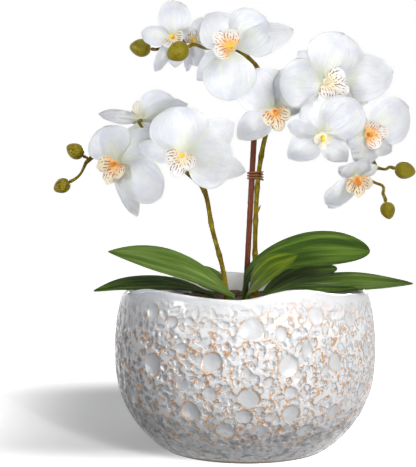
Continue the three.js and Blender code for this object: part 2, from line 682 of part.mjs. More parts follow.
function addLeaf(leaf) {
  const midrib = new THREE.CatmullRomCurve3(leaf.midrib.map(overRim).map(vector));
  const pointsRight = leaf.midrib.at(-1)[0] > leaf.midrib[0][0];
  const dip = radians(leaf.dip);
  const surface = (u, v) => {
    const share = clamp(u, 0, 1);
    const along = midrib.getTangentAt(share);
    const level = new THREE.Vector3(along.y, -along.x, 0).normalize();
    if (level.y > 0) level.negate();
    const up = new THREE.Vector3().crossVectors(level, along);
    if (up.z < 0) up.negate();
    const front = level.clone().multiplyScalar(Math.cos(dip)).addScaledVector(up, -Math.sin(dip));
    const above = level.multiplyScalar(Math.sin(dip)).addScaledVector(up, Math.cos(dip));
    const halfWidth = leafHalfWidth(leaf, share);
    return midrib
      .getPointAt(share)
      .addScaledVector(along, (u - share) * 10)
      .addScaledVector(front, halfWidth * (pointsRight ? v : -v))
      .addScaledVector(above, halfWidth * leaf.fold * Math.abs(v));
  };
  const [x, y] = leaf.root;
  const collar = FILLER_TOP + ROOT_COLLAR;
  const bend = [0.03, 0.1].map((share) => midrib.getPointAt(share).toArray());
  const parts = [
    sheet(surface, 6, 2, LEAF_THICKNESS),
    rod([x, y, ROOT_END], [x, y, collar + 1], STALK_RADIUS, WIRE_SIDES),
    tube([[x, y, collar], ...bend], STALK_RADIUS, WIRE_SIDES, 3),
  ];
  addPiece(leaf.name, geometryOf(joined(parts)), LEAF_GREEN);
}

// The stake leans towards the right spike, and the blooms hide its square-cut top.
function stakeAxis(height) {
  const [x, y] = STAKE.root;
  const share = (height - FILLER_TOP) / (RIM_MEAN_HEIGHT + TIE_HEIGHT - FILLER_TOP);
  return [x + (STAKE.atTie[0] - x) * share, y + (STAKE.atTie[1] - y) * share, height];
}

function stake() {
  const [x, y] = STAKE.root;
  const top = RIM_MEAN_HEIGHT + STAKE_HEIGHT;
  return geometryOf(
    joined([
      rod([x, y, ROOT_END], [x, y, FILLER_TOP + ROOT_COLLAR + 1], STAKE_RADIUS, STAKE_SIDES),
      rod(stakeAxis(FILLER_TOP + ROOT_COLLAR), stakeAxis(top), STAKE_RADIUS, STAKE_SIDES),
    ]),
  );
}

// A wire wound round the stake and the right spike together. Its ends run straight for one wire
// diameter.
const TIE_STEPS_PER_TURN = 24;

function tiePoints() {
  const middleHeight = RIM_MEAN_HEIGHT + TIE_HEIGHT;
  const left = stakeAxis(middleHeight);
  const right = SPIKES.right.stem[1];
  const centreX = (left[0] + right[0]) / 2;
  const centreY = (left[1] + right[1]) / 2;
  const halfSpan = (right[0] - left[0]) / 2;
  const around = Math.max(STAKE_RADIUS, SPIKE_RADIUS) + TIE_WIRE_RADIUS + SEAT_GAP;
  const points = [];
  for (let i = 0; i <= TIE_TURNS * TIE_STEPS_PER_TURN; i++) {
    const angle = (2 * Math.PI * i) / TIE_STEPS_PER_TURN;
    points.push([
      centreX + halfSpan * clamp(2 * Math.cos(angle), -1, 1) + around * Math.cos(angle),
      centreY + around * Math.sin(angle),
      middleHeight + TIE_PITCH * (i / TIE_STEPS_PER_TURN - TIE_TURNS / 2),
    ]);
  }
  const beyond = (end, before) =>
    vector(end)
      .addScaledVector(vector(end).sub(vector(before)).normalize(), 2 * TIE_WIRE_RADIUS)
      .toArray();
  return [beyond(points[0], points[1]), ...points, beyond(points.at(-1), points.at(-2))];
}

function tie() {
  const points = tiePoints();
  let least = Infinity;
  points.forEach((point, i) => {
    for (const other of points.slice(i + TIE_STEPS_PER_TURN / 2)) {
      least = Math.min(least, vector(point).distanceTo(vector(other)) - 2 * TIE_WIRE_RADIUS);
    }
  });
  console.log(`stake_tie: least gap to itself ${least.toFixed(2)} mm`);
  return geometryOf(tube(points, TIE_WIRE_RADIUS, WIRE_SIDES, points.length - 1));
}

addPiece("pot", pot(), GLAZE);
addPiece("foam_block", foamBlock(), FOAM);
addPiece("bark_filler", barkFiller(), BARK);
addPiece("flower_spike_left", flowerSpike("left"), STEM_GREEN);
addPiece("flower_spike_right", flowerSpike("right"), STEM_GREEN);
addPiece("support_stake", stake(), STAKE_BROWN);
addPiece("stake_tie", tie(), TIE_BROWN);
LEAVES.forEach(addLeaf);
BUDS.forEach(addBud);
BLOOMS.forEach(addBloom);

export default object;
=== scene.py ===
# %% [markdown]
# # A white orchid in a cratered ceramic pot
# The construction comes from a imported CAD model: a pot, a planting that lifts out of it, and
# eleven blooms that each turn on a wire peg. This lesson dresses that model. It keeps every piece
# where the CAD puts it, and replaces the plain solids with detailed ones.

# %% Load the construction
import json
import math
import random

import bmesh
import bpy
import numpy as np
from mathutils import Matrix, Vector, noise


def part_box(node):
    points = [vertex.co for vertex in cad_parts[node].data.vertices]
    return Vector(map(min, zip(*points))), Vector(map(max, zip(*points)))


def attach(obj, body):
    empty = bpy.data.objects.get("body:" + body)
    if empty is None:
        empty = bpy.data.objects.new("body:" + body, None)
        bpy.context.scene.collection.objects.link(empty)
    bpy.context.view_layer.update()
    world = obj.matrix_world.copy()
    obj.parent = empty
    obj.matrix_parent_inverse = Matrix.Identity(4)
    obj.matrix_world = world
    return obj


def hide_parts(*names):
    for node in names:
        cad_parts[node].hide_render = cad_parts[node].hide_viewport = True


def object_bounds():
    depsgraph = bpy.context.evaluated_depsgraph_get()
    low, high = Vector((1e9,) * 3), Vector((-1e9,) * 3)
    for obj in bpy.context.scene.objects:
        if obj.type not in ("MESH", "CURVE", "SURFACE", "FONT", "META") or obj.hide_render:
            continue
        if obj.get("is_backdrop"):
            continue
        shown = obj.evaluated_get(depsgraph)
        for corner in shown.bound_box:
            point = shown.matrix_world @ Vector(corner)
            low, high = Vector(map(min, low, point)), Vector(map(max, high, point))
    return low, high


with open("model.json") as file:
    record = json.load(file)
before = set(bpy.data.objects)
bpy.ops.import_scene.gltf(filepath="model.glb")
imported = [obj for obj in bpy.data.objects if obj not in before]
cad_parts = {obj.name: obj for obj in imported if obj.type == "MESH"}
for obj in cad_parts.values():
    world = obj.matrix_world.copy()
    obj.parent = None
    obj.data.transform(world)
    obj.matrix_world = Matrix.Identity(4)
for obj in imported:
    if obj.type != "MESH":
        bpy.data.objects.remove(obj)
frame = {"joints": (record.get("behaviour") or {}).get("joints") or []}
CAD_LOW, CAD_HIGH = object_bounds()
MM = 0.001
JOINTS = {joint["name"]: joint for joint in frame["joints"]}

# %% [markdown]
# ## Small tools
# Every finished piece goes the same way: a mesh gets its material and smooth shading, and its
# object rides on a body and stands for the CAD node of that name. A smooth path through a few
# corners serves stems and leaves alike. It is a Catmull-Rom curve, because that one passes through
# its corners, and its points are evenly spaced afterwards.

# %% Finish a piece
def new_object(name, bm, materials):
    mesh = bpy.data.meshes.new(name)
    bm.to_mesh(mesh)
    bm.free()
    for material in materials:
        mesh.materials.append(material)
    made = bpy.data.objects.new(name, mesh)
    bpy.context.scene.collection.objects.link(made)
    return made


def add_piece(name, bm, materials, body, node):
    piece = new_object(name, bm, materials)
    faces = piece.data.polygons
    faces.foreach_set("use_smooth", [True] * len(faces))
    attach(piece, body)
    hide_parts(node)
    return piece


def add_planted(name, bm, material, node):
    return add_piece(name, bm, [material], "planting", node)


def add_detail(piece):
    smoother = piece.modifiers.new("smooth", "SUBSURF")
    smoother.levels = 1
    smoother.render_levels = 1


def merge_into(bm, part):
    held = bpy.data.meshes.new("held")
    part.to_mesh(held)
    part.free()
    bm.from_mesh(held)
    bpy.data.meshes.remove(held)


# %% A smooth path through corners
STEPS_PER_SPAN = 24


def smooth_path(corners, count):
    points = [Vector(corner) for corner in corners]
    knots = [points[0] * 2 - points[1], *points, points[-1] * 2 - points[-2]]
    fine = []
    for before, start, end, after in zip(knots, knots[1:], knots[2:], knots[3:]):
        spans = ((before, start), (start, end), (end, after))
        gaps = [max((b - a).length, 1e-9) ** 0.5 for a, b in spans]
        leave = (start - before) / gaps[0] - (end - before) / (gaps[0] + gaps[1]) + (end - start) / gaps[1]
        reach = (end - start) / gaps[1] - (after - start) / (gaps[1] + gaps[2]) + (after - end) / gaps[2]
        leave, reach = leave * gaps[1], reach * gaps[1]
        for step in range(STEPS_PER_SPAN):
            t = step / STEPS_PER_SPAN
            bend = (-3 * start + 3 * end - 2 * leave - reach) * t**2
            fine.append(start + leave * t + bend + (2 * start - 2 * end + leave + reach) * t**3)
    fine.append(points[-1])
    reached = np.concatenate([[0], np.cumsum([(b - a).length for a, b in zip(fine, fine[1:])])])
    wanted = np.linspace(0, reached[-1], count)
    columns = [np.interp(wanted, reached, [p[k] for p in fine]) for k in range(3)]
    return [Vector(row) for row in zip(*columns)]


# %% A closed tube along points
def add_tube(bm, points, radii, sides=12):
    curve = bpy.data.curves.new("tube", "CURVE")
    curve.dimensions = "3D"
    curve.bevel_depth = 1.0
    curve.bevel_resolution = (sides - 4) // 2
    curve.use_fill_caps = True
    line = curve.splines.new("POLY")
    line.points.add(len(points) - 1)
    for target, point, radius in zip(line.points, points, radii):
        target.co = (*point, 1.0)
        target.radius = radius
    holder = bpy.data.objects.new("tube", curve)
    mesh = bpy.data.meshes.new_from_object(holder)
    before = len(bm.verts)
    bm.from_mesh(mesh)
    bm.verts.ensure_lookup_table()
    bmesh.ops.remove_doubles(bm, verts=bm.verts[before:], dist=1e-6)
    bpy.data.objects.remove(holder)
    bpy.data.meshes.remove(mesh)
    bpy.data.curves.remove(curve)


# %% [markdown]
# ## Making materials
# A material is a small network of nodes. Written out one by one, the networks hide what they do,
# so a short helper class adds a node, sets its inputs and links it in one call. `spot` is a point
# of the piece in metres and `path` its place on a sheet's own UV map. The finished networks then
# read as sentences.

# %% A helper that builds node networks
class Finish:
    def __init__(self, name):
        self.material = bpy.data.materials.new(name)
        self.material.use_nodes = True
        self.tree = self.material.node_tree
        self.shader = self.tree.nodes["Principled BSDF"]
        place = self.tree.nodes.new("ShaderNodeTexCoord")
        self.spot = place.outputs["Object"]
        self.path = place.outputs["UV"]

    def node(self, kind, inputs=(), **settings):
        made = self.tree.nodes.new("ShaderNode" + kind)
        for name, value in settings.items():
            setattr(made, name, value)
        for name, value in dict(inputs).items():
            self.feed(made.inputs[name], value)
        return made

    def feed(self, socket, value):
        if isinstance(value, bpy.types.NodeSocket):
            self.tree.links.new(value, socket)
        elif isinstance(value, tuple) and len(value) == 3 and socket.type == "RGBA":
            socket.default_value = (*value, 1.0)
        else:
            socket.default_value = value

    def done(self, **inputs):
        for name, value in inputs.items():
            self.feed(self.shader.inputs[name.replace("_", " ")], value)
        return self.material

    def grained(self, scale, distance):
        return self.bump(self.noise(self.spot, scale, 2.0), distance)

    def noise(self, where, scale, detail=3.0, roughness=0.55):
        wanted = {"Vector": where, "Scale": scale, "Detail": detail, "Roughness": roughness}
        return self.node("TexNoise", wanted).outputs["Fac"]

    def ramp(self, value, low, high, start=0.0, end=1.0):
        wanted = {"Value": value, "From Min": low, "From Max": high, "To Min": start, "To Max": end}
        return self.node("MapRange", wanted, interpolation_type="SMOOTHSTEP").outputs["Result"]

    def math(self, operation, first, second=0.5):
        made = self.node("Math", operation=operation)
        self.feed(made.inputs[0], first)
        self.feed(made.inputs[1], second)
        return made.outputs["Value"]

    def times(self, first, second):
        return self.math("MULTIPLY", first, second)

    def apart(self, value, middle):
        return self.math("ABSOLUTE", self.math("SUBTRACT", value, middle), 0.0)

    def split(self, where):
        return self.node("SeparateXYZ", {"Vector": where}).outputs

    def grain(self, where, scale, detail):
        stretched = self.node("Mapping", {"Vector": where, "Scale": scale}).outputs["Vector"]
        return self.noise(stretched, 1.0, detail)

    def mix(self, share, first, second):
        made = self.node("Mix", data_type="RGBA")
        for number, value in ((0, share), (6, first), (7, second)):
            self.feed(made.inputs[number], value)
        return made.outputs[2]

    def bump(self, height, distance, strength=1.0, normal=None):
        wanted = {"Height": height, "Distance": distance, "Strength": strength}
        if normal is not None:
            wanted["Normal"] = normal
        return self.node("Bump", wanted).outputs["Normal"]


# %% [markdown]
# ## The pot
# The real pot is thrown stoneware. Its wall is pressed with round craters, and all between them is
# eaten by small pits. A white glaze runs thin over their edges, where the orange clay shows. The
# profile is spun into a fine bowl, and numpy presses craters and pits into its points. Each point
# also keeps how far it lies from the nearest pit's middle, as an attribute. The mesh holds the
# broad hollows, and the shader reads the same distances and draws their crisp edges, so that
# shape, relief and clay line up.

# %% The bowl's profile, the same curve as the CAD's
FOOT_RADIUS = 68 * MM
FOOT_CHAMFER = 3 * MM
BELLY_RADIUS = 107 * MM
BELLY_HEIGHT = 80 * MM
RIM_RADIUS = 101.5 * MM
RIM_MEAN_HEIGHT = 131 * MM
POT_WALL = 6 * MM
POT_FLOOR = 8 * MM
# How far the rim rises, in millimetres, at angles from the front.
RIM_WAVE = [
    (-88, -6), (-48, 4.5), (-5, 0), (20, 7), (50, 0.5), (88, -4), (128, 5), (158, 0), (196, 4),
    (234, -1.5),
]


def wall_radius(height):
    below = np.clip((BELLY_HEIGHT - height) / BELLY_HEIGHT, 0, 1)
    above = np.clip((height - BELLY_HEIGHT) / (RIM_MEAN_HEIGHT - BELLY_HEIGHT), 0, 1)
    swell = (1 - below**2.5) ** 0.92
    return FOOT_RADIUS + (BELLY_RADIUS - FOOT_RADIUS) * swell - (BELLY_RADIUS - RIM_RADIUS) * above**2


def wall_lean(height):
    step = 0.5 * MM
    return np.arctan2(wall_radius(height - step) - wall_radius(height + step), 2 * step)


def inner_radius(height):
    return wall_radius(height) - POT_WALL / np.cos(wall_lean(height))


def length_up(heights):
    steps = np.hypot(np.diff(wall_radius(heights)), np.diff(heights))
    return np.concatenate([[0], np.cumsum(steps)])


def rim_rise(azimuth):
    angles = np.array([angle for angle, _ in RIM_WAVE] + [RIM_WAVE[0][0] + 360])
    rises = np.array([rise for _, rise in RIM_WAVE] + [RIM_WAVE[0][1]]) * MM
    wrapped = np.mod(azimuth - angles[0], 360) + angles[0]
    after = np.clip(np.searchsorted(angles, wrapped, side="right"), 1, len(angles) - 1)
    share = (wrapped - angles[after - 1]) / (angles[after] - angles[after - 1])
    eased = (1 - np.cos(np.pi * share)) / 2
    return rises[after - 1] + (rises[after] - rises[after - 1]) * eased


# %% Points of the profile
PROFILE_STEPS = 400
OUTER_ROWS = 138
LIP_ROWS = 6
INNER_ROWS = 9
INNER_CORNER = 5 * MM


def bowl_profile():
    heights = np.linspace(FOOT_CHAMFER, RIM_MEAN_HEIGHT - POT_WALL / 2, PROFILE_STEPS)
    walked = length_up(heights)
    outer = np.interp(np.linspace(0, walked[-1], OUTER_ROWS), walked, heights)
    profile = [(share * FOOT_RADIUS, 0.0) for share in (0, 0.35, 0.7, 0.93, 0.985)]
    profile += [(FOOT_RADIUS - 0.4 * MM, 0.3 * MM), (FOOT_RADIUS, 1.2 * MM)]
    profile += [(float(wall_radius(height)), float(height)) for height in outer]
    half_wall = POT_WALL / 2
    lip_centre = float(wall_radius(outer[-1])) - half_wall
    for row in range(1, LIP_ROWS):
        angle = math.pi * row / LIP_ROWS
        profile.append((lip_centre + half_wall * math.cos(angle), outer[-1] + half_wall * math.sin(angle)))
    for height in np.linspace(outer[-1], POT_FLOOR + INNER_CORNER, INNER_ROWS):
        profile.append((float(inner_radius(height)), float(height)))
    floor_radius = profile[-1][0] - INNER_CORNER
    profile += [(floor_radius + 1.5 * MM, POT_FLOOR + 1.5 * MM), (floor_radius, POT_FLOOR), (0.0, POT_FLOOR)]
    return profile


# %% Spin a profile
# For a fine bowl one wedge is spun, copied round and joined, which is much quicker.
def spun(profile, steps, wedges=1):
    bm = bmesh.new()
    points = [bm.verts.new((radius, 0, height)) for radius, height in profile]
    edges = [bm.edges.new(pair) for pair in zip(points, points[1:])]
    bmesh.ops.spin(
        bm, geom=points + edges, cent=(0, 0, 0), axis=(0, 0, 1), dvec=(0, 0, 0),
        angle=2 * math.pi / wedges, steps=steps // wedges, use_merge=wedges == 1, use_duplicate=False,
    )
    wedge = bm.verts[:] + bm.edges[:] + bm.faces[:]
    for number in range(1, wedges):
        made = bmesh.ops.duplicate(bm, geom=wedge)["geom"]
        corners = [part for part in made if isinstance(part, bmesh.types.BMVert)]
        turn = Matrix.Rotation(2 * math.pi * number / wedges, 3, "Z")
        bmesh.ops.rotate(bm, cent=(0, 0, 0), matrix=turn, verts=corners)
    bmesh.ops.remove_doubles(bm, verts=bm.verts, dist=0.5e-6)
    bmesh.ops.recalc_face_normals(bm, faces=bm.faces)
    return bm


# %% Where the craters are
# Degrees from the front, then height and radius in millimetres. The rest are strewn by chance.
FRONT_CRATERS = [
    (-15, 85, 7.8), (16, 82, 8.1), (1, 110, 8.8), (0, 58, 8.1), (-25, 46, 7.8), (-43, 79, 8.3),
    (-44, 119, 6.1), (-59, 107, 6.4), (29, 118, 6.7), (48, 113, 6.1), (38, 82, 6.9), (18, 45, 7.4),
    (-16, 61, 5.6), (-28, 94, 4.1), (-33, 113, 4.5), (-25, 114, 3.7), (13, 106, 5.1), (24, 94, 5),
    (-1, 78, 3.7), (-28, 66, 5), (17, 62, 5), (-10, 32, 7.2), (5, 32, 5.6), (40, 43, 6), (8, 71, 3.5),
    (33, 107, 3), (-2, 44, 6), (9, 43, 3.7), (-62, 50, 7.5), (61, 88, 6.5), (58, 55, 6), (-66, 84, 6),
    (-50, 30, 6), (27, 30, 6.5),
]
BACK_CRATERS = 70
CRATER_SEED = 7
MOST_TRIES = 4000
CLEARANCE = 2


def crater_list():
    chance = random.Random(CRATER_SEED)
    craters = list(FRONT_CRATERS)
    for _ in range(MOST_TRIES):
        if len(craters) >= len(FRONT_CRATERS) + BACK_CRATERS:
            break
        azimuth = chance.uniform(66, 294)
        height = chance.uniform(24, 120)
        radius = chance.choice((3, 3.5, 4, 5, 6, 7.5, 8.5))
        gaps = []
        for other, level, size in craters:
            turn = math.radians((azimuth - other + 180) % 360 - 180)
            gaps.append(math.hypot(turn * 100, height - level) - (radius + size + CLEARANCE))
        if min(gaps) >= 0:
            craters.append((azimuth, height, radius))
    return craters


# %% Pits between the craters
# Spheres are strewn in space, and where the wall cuts one there is a pit. Cell size, sphere radius
# and depth are given for a coarse and a fine set. The noise is seeded, or every run would strew
# them differently.
PITS = {"coarse_pit": (6.6 * MM, 3.4 * MM, 1.1 * MM), "fine_pit": (4.4 * MM, 2.1 * MM, 0.7 * MM)}
PIT_SEED = 11
NO_PIT = 2.0
DRIFT_SIZE = 9 * MM
noise.seed_set(PIT_SEED)


def pit_reach(place, outside, cell, radius):
    reach = np.full(len(place), NO_PIT)
    for number in np.flatnonzero(outside):
        point = Vector(place[number])
        drift = noise.noise_vector(point / DRIFT_SIZE) * 0.5
        distances, _ = noise.voronoi(point / cell + drift)
        reach[number] = min(distances[0] * cell / radius, NO_PIT)
    return reach


def pit_band(height):
    low = np.clip((height - 9 * MM) / (16 * MM), 0.35, 1)
    return low * np.clip((RIM_MEAN_HEIGHT - 5 * MM - height) / (28 * MM), 0, 1) ** 0.6


# %% How deep the craters are, and where their edges and floors lie
WALL_STEPS = 500
DEEPEST_CRATER = 2.3 * MM
ABOVE_BELLY = RIM_MEAN_HEIGHT - BELLY_HEIGHT


def crater_marks(radius, azimuth, height, outside):
    heights = np.linspace(0, RIM_MEAN_HEIGHT, WALL_STEPS)
    walked = length_up(heights)
    along = np.interp(height, heights, walked)
    depth, edge, floor = np.zeros((3, len(height)))
    for number, (turn, level, size) in enumerate(crater_list()):
        size = size * MM
        level = level * MM
        if level > BELLY_HEIGHT:
            rise = rim_rise(np.array(float(turn))) / ABOVE_BELLY
            level = BELLY_HEIGHT + (level - BELLY_HEIGHT) / (1 + rise)
        across = np.radians(np.mod(azimuth - turn + 180, 360) - 180) * radius
        up = along - np.interp(level, heights, walked)
        near = np.flatnonzero(outside & (np.hypot(across, up) < 2 * size))
        direction = np.arctan2(up[near], across[near])
        uneven = 1 + 0.05 * np.sin(2 * direction + number) + 0.035 * np.sin(3 * direction + 2.3 * number)
        reach = np.hypot(across[near], up[near]) / (size * uneven)
        bowl = np.clip(1 - reach**2, 0, 1)
        lip = np.exp(-(((reach - 1.1) / 0.14) ** 2))
        deepest = min(DEEPEST_CRATER, 0.32 * size)
        depth[near] = np.maximum(depth[near], bowl * deepest) - 0.12 * lip * deepest
        edge[near] = np.maximum(edge[near], np.exp(-(((reach - 1) / 0.07) ** 2)))
        floor[near] = np.maximum(floor[near], np.clip((1.04 - reach) / 0.14, 0, 1))
    return depth, edge, floor


# %% Press craters and pits, and raise the rim
def keep_values(mesh, name, values):
    mesh.attributes.new(name, "FLOAT", "POINT").data.foreach_set("value", values)


def press_craters(mesh):
    place = np.empty(len(mesh.vertices) * 3)
    mesh.vertices.foreach_get("co", place)
    place = place.reshape(-1, 3)
    radius = np.hypot(place[:, 0], place[:, 1])
    azimuth = np.degrees(np.arctan2(place[:, 0], -place[:, 1]))
    height = place[:, 2].copy()
    outside = (radius > wall_radius(height) - 0.3 * POT_WALL) & (height > 1.3 * MM)
    depth, edge, floor = crater_marks(radius, azimuth, height, outside)
    band = pit_band(height)
    for name, (cell, size, deepest) in PITS.items():
        reach = pit_reach(place, outside, cell, size)
        hollow = np.clip(1 - reach**2, 0, 1) ** 0.8
        depth += hollow * deepest * band * (1 - floor)
        keep_values(mesh, name, reach)
    lean = wall_lean(height)
    outward = place[:, :2] / np.maximum(radius, 1e-9)[:, None]
    stretch = 1 + rim_rise(azimuth) / ABOVE_BELLY
    raised = np.where(height > BELLY_HEIGHT, BELLY_HEIGHT + (height - BELLY_HEIGHT) * stretch, height)
    depth = np.maximum(depth, 0)
    place[:, :2] -= outward * (depth * np.cos(lean))[:, None]
    place[:, 2] = raised - depth * np.sin(lean)
    mesh.vertices.foreach_set("co", place.reshape(-1))
    inside = 1 - np.clip((radius - wall_radius(height) + 0.75 * POT_WALL) / (0.3 * POT_WALL), 0, 1)
    inside[(height < 0.8 * POT_FLOOR)] = 0
    keep_values(mesh, "crater_edge", edge)
    keep_values(mesh, "crater_floor", floor)
    keep_values(mesh, "inside", inside)
    keep_values(mesh, "pit_band", band)
    mesh.update()


# %% [markdown]
# ## The glaze
# A white glaze looks white because most of it is even. Its life is in a few places: the crisp edge
# of each pit, the clay that shows through there in broken orange arcs, and the grey where the glaze
# pools in a pit, darkened a little further as painted shade. Dark streaks run towards the foot. The
# rest of the grey is painted shade: greyer crater floors, a greyer band under the rim, a greyer left
# side and foot, dark lines inside the pit walls, and dark hollows on the left and at the foot. The
# distances that the mesh keeps give the pit and crater marks. A clear coat on top carries the sharp
# highlights.

# %% Glaze colours
# The crater, rim, left, foot, hollow and line greys are painted shade, and the pool grey is partly so.
GLAZE = {
    "thin": (0.73, 0.735, 0.745), "thick": (0.80, 0.805, 0.81), "pooled_and_shade": (0.56, 0.585, 0.615),
    "crater": (0.60, 0.615, 0.63), "rim": (0.62, 0.63, 0.645), "left": (0.38, 0.41, 0.455),
    "foot": (0.30, 0.325, 0.36), "foot_streaks": (0.12, 0.125, 0.14), "hollow": (0.07, 0.08, 0.10),
    "line": (0.24, 0.21, 0.19), "clay": (0.66, 0.33, 0.09), "bare": (0.42, 0.34, 0.24),
    "lining": (0.70, 0.70, 0.69), "deep_lining": (0.42, 0.36, 0.28),
}


# %% What one set of pits gives: clay arcs, pools, dark lines of painted shade and the raised edge
def mesh_value(finish, name):
    return finish.node("Attribute", attribute_name=name).outputs["Fac"]


def pit_marks(finish, name, rim, share):
    reach = mesh_value(finish, name)
    arc = finish.times(finish.ramp(finish.apart(reach, 1.02), rim, 0.3 * rim), share)
    pool = finish.ramp(reach, 0.9, 0.4)
    # A dark ring just inside each pit's edge: painted shade on the pit wall.
    line = finish.times(finish.ramp(finish.apart(reach, 0.86), 0.8 * rim, 0.2 * rim), share)
    raised = finish.times(finish.ramp(reach, 0.72, 1.0), share)
    return arc, pool, line, raised


# %% The glaze's colour, from broad to fine
def glaze_colour(finish, marks, open_wall):
    arcs, pools, lines = marks
    spot = finish.spot
    crater_floor = mesh_value(finish, "crater_floor")
    across, _, height = finish.split(spot)
    # Darker towards the foot: painted shade of the low wall.
    low_band = finish.ramp(height, 0.05, 0.006)
    # Greyer on the left side: painted shade.
    painted_left_shade = finish.ramp(across, -0.035, -0.1)
    # Dark streaks towards the foot.
    foot_streaks = finish.times(finish.ramp(finish.noise(spot, 130.0, 3.0), 0.52, 0.62), low_band)
    # Dark hollows of the pits on the left and at the foot: painted shade.
    painted_shade_zone = finish.times(finish.math("MAXIMUM", painted_left_shade, low_band), open_wall)
    hollow = finish.times(finish.math("MAXIMUM", pools, lines), painted_shade_zone)
    colour = finish.mix(finish.noise(spot, 45.0, 3.0), GLAZE["thin"], GLAZE["thick"])
    for name, where, share in (
        # Grey in the pits is glaze pooling, darkened further as painted shade; greyer crater floors are
        # painted shade.
        ("pooled_and_shade", finish.times(pools, open_wall), 0.4), ("crater", crater_floor, 0.8),
        # Greyer band under the rim: painted shade.
        ("rim", finish.ramp(height, 0.108, 0.122), 0.7), ("left", painted_left_shade, 0.55),
        ("foot", low_band, 0.65), ("foot_streaks", foot_streaks, 0.8), ("hollow", hollow, 0.85),
        ("line", lines, 0.5), ("clay", arcs, 0.9),
    ):
        colour = finish.mix(finish.times(where, share), colour, GLAZE[name])
    return colour


# %% The glaze material
def glazed_stoneware():
    finish = Finish("glazed_stoneware")
    spot = finish.spot
    inside = mesh_value(finish, "inside")
    no_crater = finish.math("SUBTRACT", 1.0, mesh_value(finish, "crater_floor"))
    open_wall = finish.times(no_crater, mesh_value(finish, "pit_band"))
    pairs = list(zip(pit_marks(finish, "coarse_pit", 0.14, 1.0), pit_marks(finish, "fine_pit", 0.2, 0.8)))
    arcs, pools, lines = (finish.math("MAXIMUM", *pair) for pair in pairs[:3])
    relief = finish.math("ADD", *pairs[3])
    patches = finish.ramp(finish.noise(spot, 210.0, 2.0), 0.5, 0.56)
    # Noise that breaks the dark lines of painted shade into pieces.
    shade_line_breaks = finish.ramp(finish.noise(spot, 160.0, 2.0), 0.44, 0.58)
    broken = finish.ramp(finish.noise(spot, 95.0, 2.0), 0.47, 0.56)
    lines = finish.times(finish.times(lines, shade_line_breaks), open_wall)
    arcs = finish.times(finish.times(arcs, patches), open_wall)
    clay = finish.math("MAXIMUM", arcs, finish.times(mesh_value(finish, "crater_edge"), broken))
    _, _, height = finish.split(spot)
    lining = finish.mix(finish.ramp(height, 0.098, 0.118), GLAZE["deep_lining"], GLAZE["lining"])
    bare = finish.ramp(height, 0.0035, 0.0022)
    colour = finish.mix(inside, glaze_colour(finish, (clay, pools, lines), open_wall), lining)
    colour = finish.mix(bare, colour, GLAZE["bare"])
    rough = finish.ramp(finish.math("ADD", inside, bare), 0.0, 1.0, 0.12, 0.75)
    rough = finish.math("ADD", rough, finish.times(clay, 0.15))
    pitted = finish.bump(finish.times(relief, open_wall), 0.0008)
    streaked = finish.times(finish.grain(spot, (90.0, 90.0, 420.0), 3.0), finish.ramp(height, 0.05, 0.006))
    thrown = finish.bump(streaked, 0.0026, 1.0, pitted)
    peel = finish.bump(finish.noise(spot, 300.0, 2.0), 0.00015, 0.6, thrown)
    wavy = finish.bump(finish.noise(spot, 120.0, 1.0), 0.0009, 1.0, peel)
    return finish.done(
        Base_Color=colour, Roughness=rough, Normal=wavy,
        Specular_IOR_Level=0.15, Coat_Weight=0.8, Coat_Roughness=0.02,
    )


# %% Make the pot
AROUND = 620
WEDGES = 20
bm = spun(bowl_profile(), AROUND, WEDGES)
pot = add_piece("pot_glazed_bowl", bm, [glazed_stoneware()], "pot", "pot")
press_craters(pot.data)
print("pot faces", len(pot.data.polygons))

# %% [markdown]
# ## Foam and bark
# The stems are pushed into a block of dry foam that fills the lower pot, and a layer of glued bark
# hides it, heaped a little against the wall. Both are turned shapes. The bark's disc only has to be
# lumpy, since hundreds of small chips lie on it. A chip has very few faces, and its look comes from
# how the chips are strewn.

# %% Foam block
FOAM_TOP_RADIUS = 80 * MM
FOAM_SIDE_GAP = 4 * MM
ROUND_SIDES = 96
foam_low, foam_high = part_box("foam_block")


def dry_foam():
    finish = Finish("foam")
    grain = finish.noise(finish.spot, 900.0, 2.0)
    green = finish.mix(grain, (0.10, 0.16, 0.08), (0.16, 0.24, 0.12))
    return finish.done(Base_Color=green, Roughness=0.95, Normal=finish.bump(grain, 0.0006))


foam_bottom = float(inner_radius(POT_FLOOR)) - FOAM_SIDE_GAP
foam_profile = [
    (0, foam_low.z), (foam_bottom - 2 * MM, foam_low.z), (foam_bottom, foam_low.z + 2 * MM),
    (FOAM_TOP_RADIUS, foam_high.z - 2 * MM), (FOAM_TOP_RADIUS - 2 * MM, foam_high.z), (0, foam_high.z),
]
bm = spun(foam_profile, ROUND_SIDES)
foam = add_planted("foam_block_dry", bm, dry_foam(), "foam_block")
print("foam", [round(value * 1000) for value in foam.dimensions])

# %% Bark disc and chips
FILLER_RADIUS = 92.5 * MM
HEAP = 8 * MM
HEAP_REACH = 80 * MM
HEAP_EDGE_DROP = 4 * MM
CHIPS = 1100
CHIP_SEED = 3
CHIP_SINK = 1.8 * MM
CHIP_TILT = 0.16
CHIP_SKEW = 0.14
filler_low, filler_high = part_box("bark_filler")


def bark_level(reach):
    middle = filler_high.z - HEAP
    risen = HEAP * min(reach / HEAP_REACH, 1) ** 1.3
    fallen = HEAP_EDGE_DROP * max(reach - HEAP_REACH, 0) / (FILLER_RADIUS - HEAP_REACH)
    return middle + risen - fallen


def bark():
    finish = Finish("bark")
    fibre = finish.noise(finish.spot, 420.0, 4.0, 0.7)
    patch = finish.noise(finish.spot, 60.0, 2.0)
    brown = finish.mix(fibre, (0.035, 0.018, 0.009), (0.16, 0.09, 0.045))
    brown = finish.mix(patch, brown, (0.10, 0.055, 0.03))
    return finish.done(Base_Color=brown, Roughness=0.85, Normal=finish.bump(fibre, 0.0008))


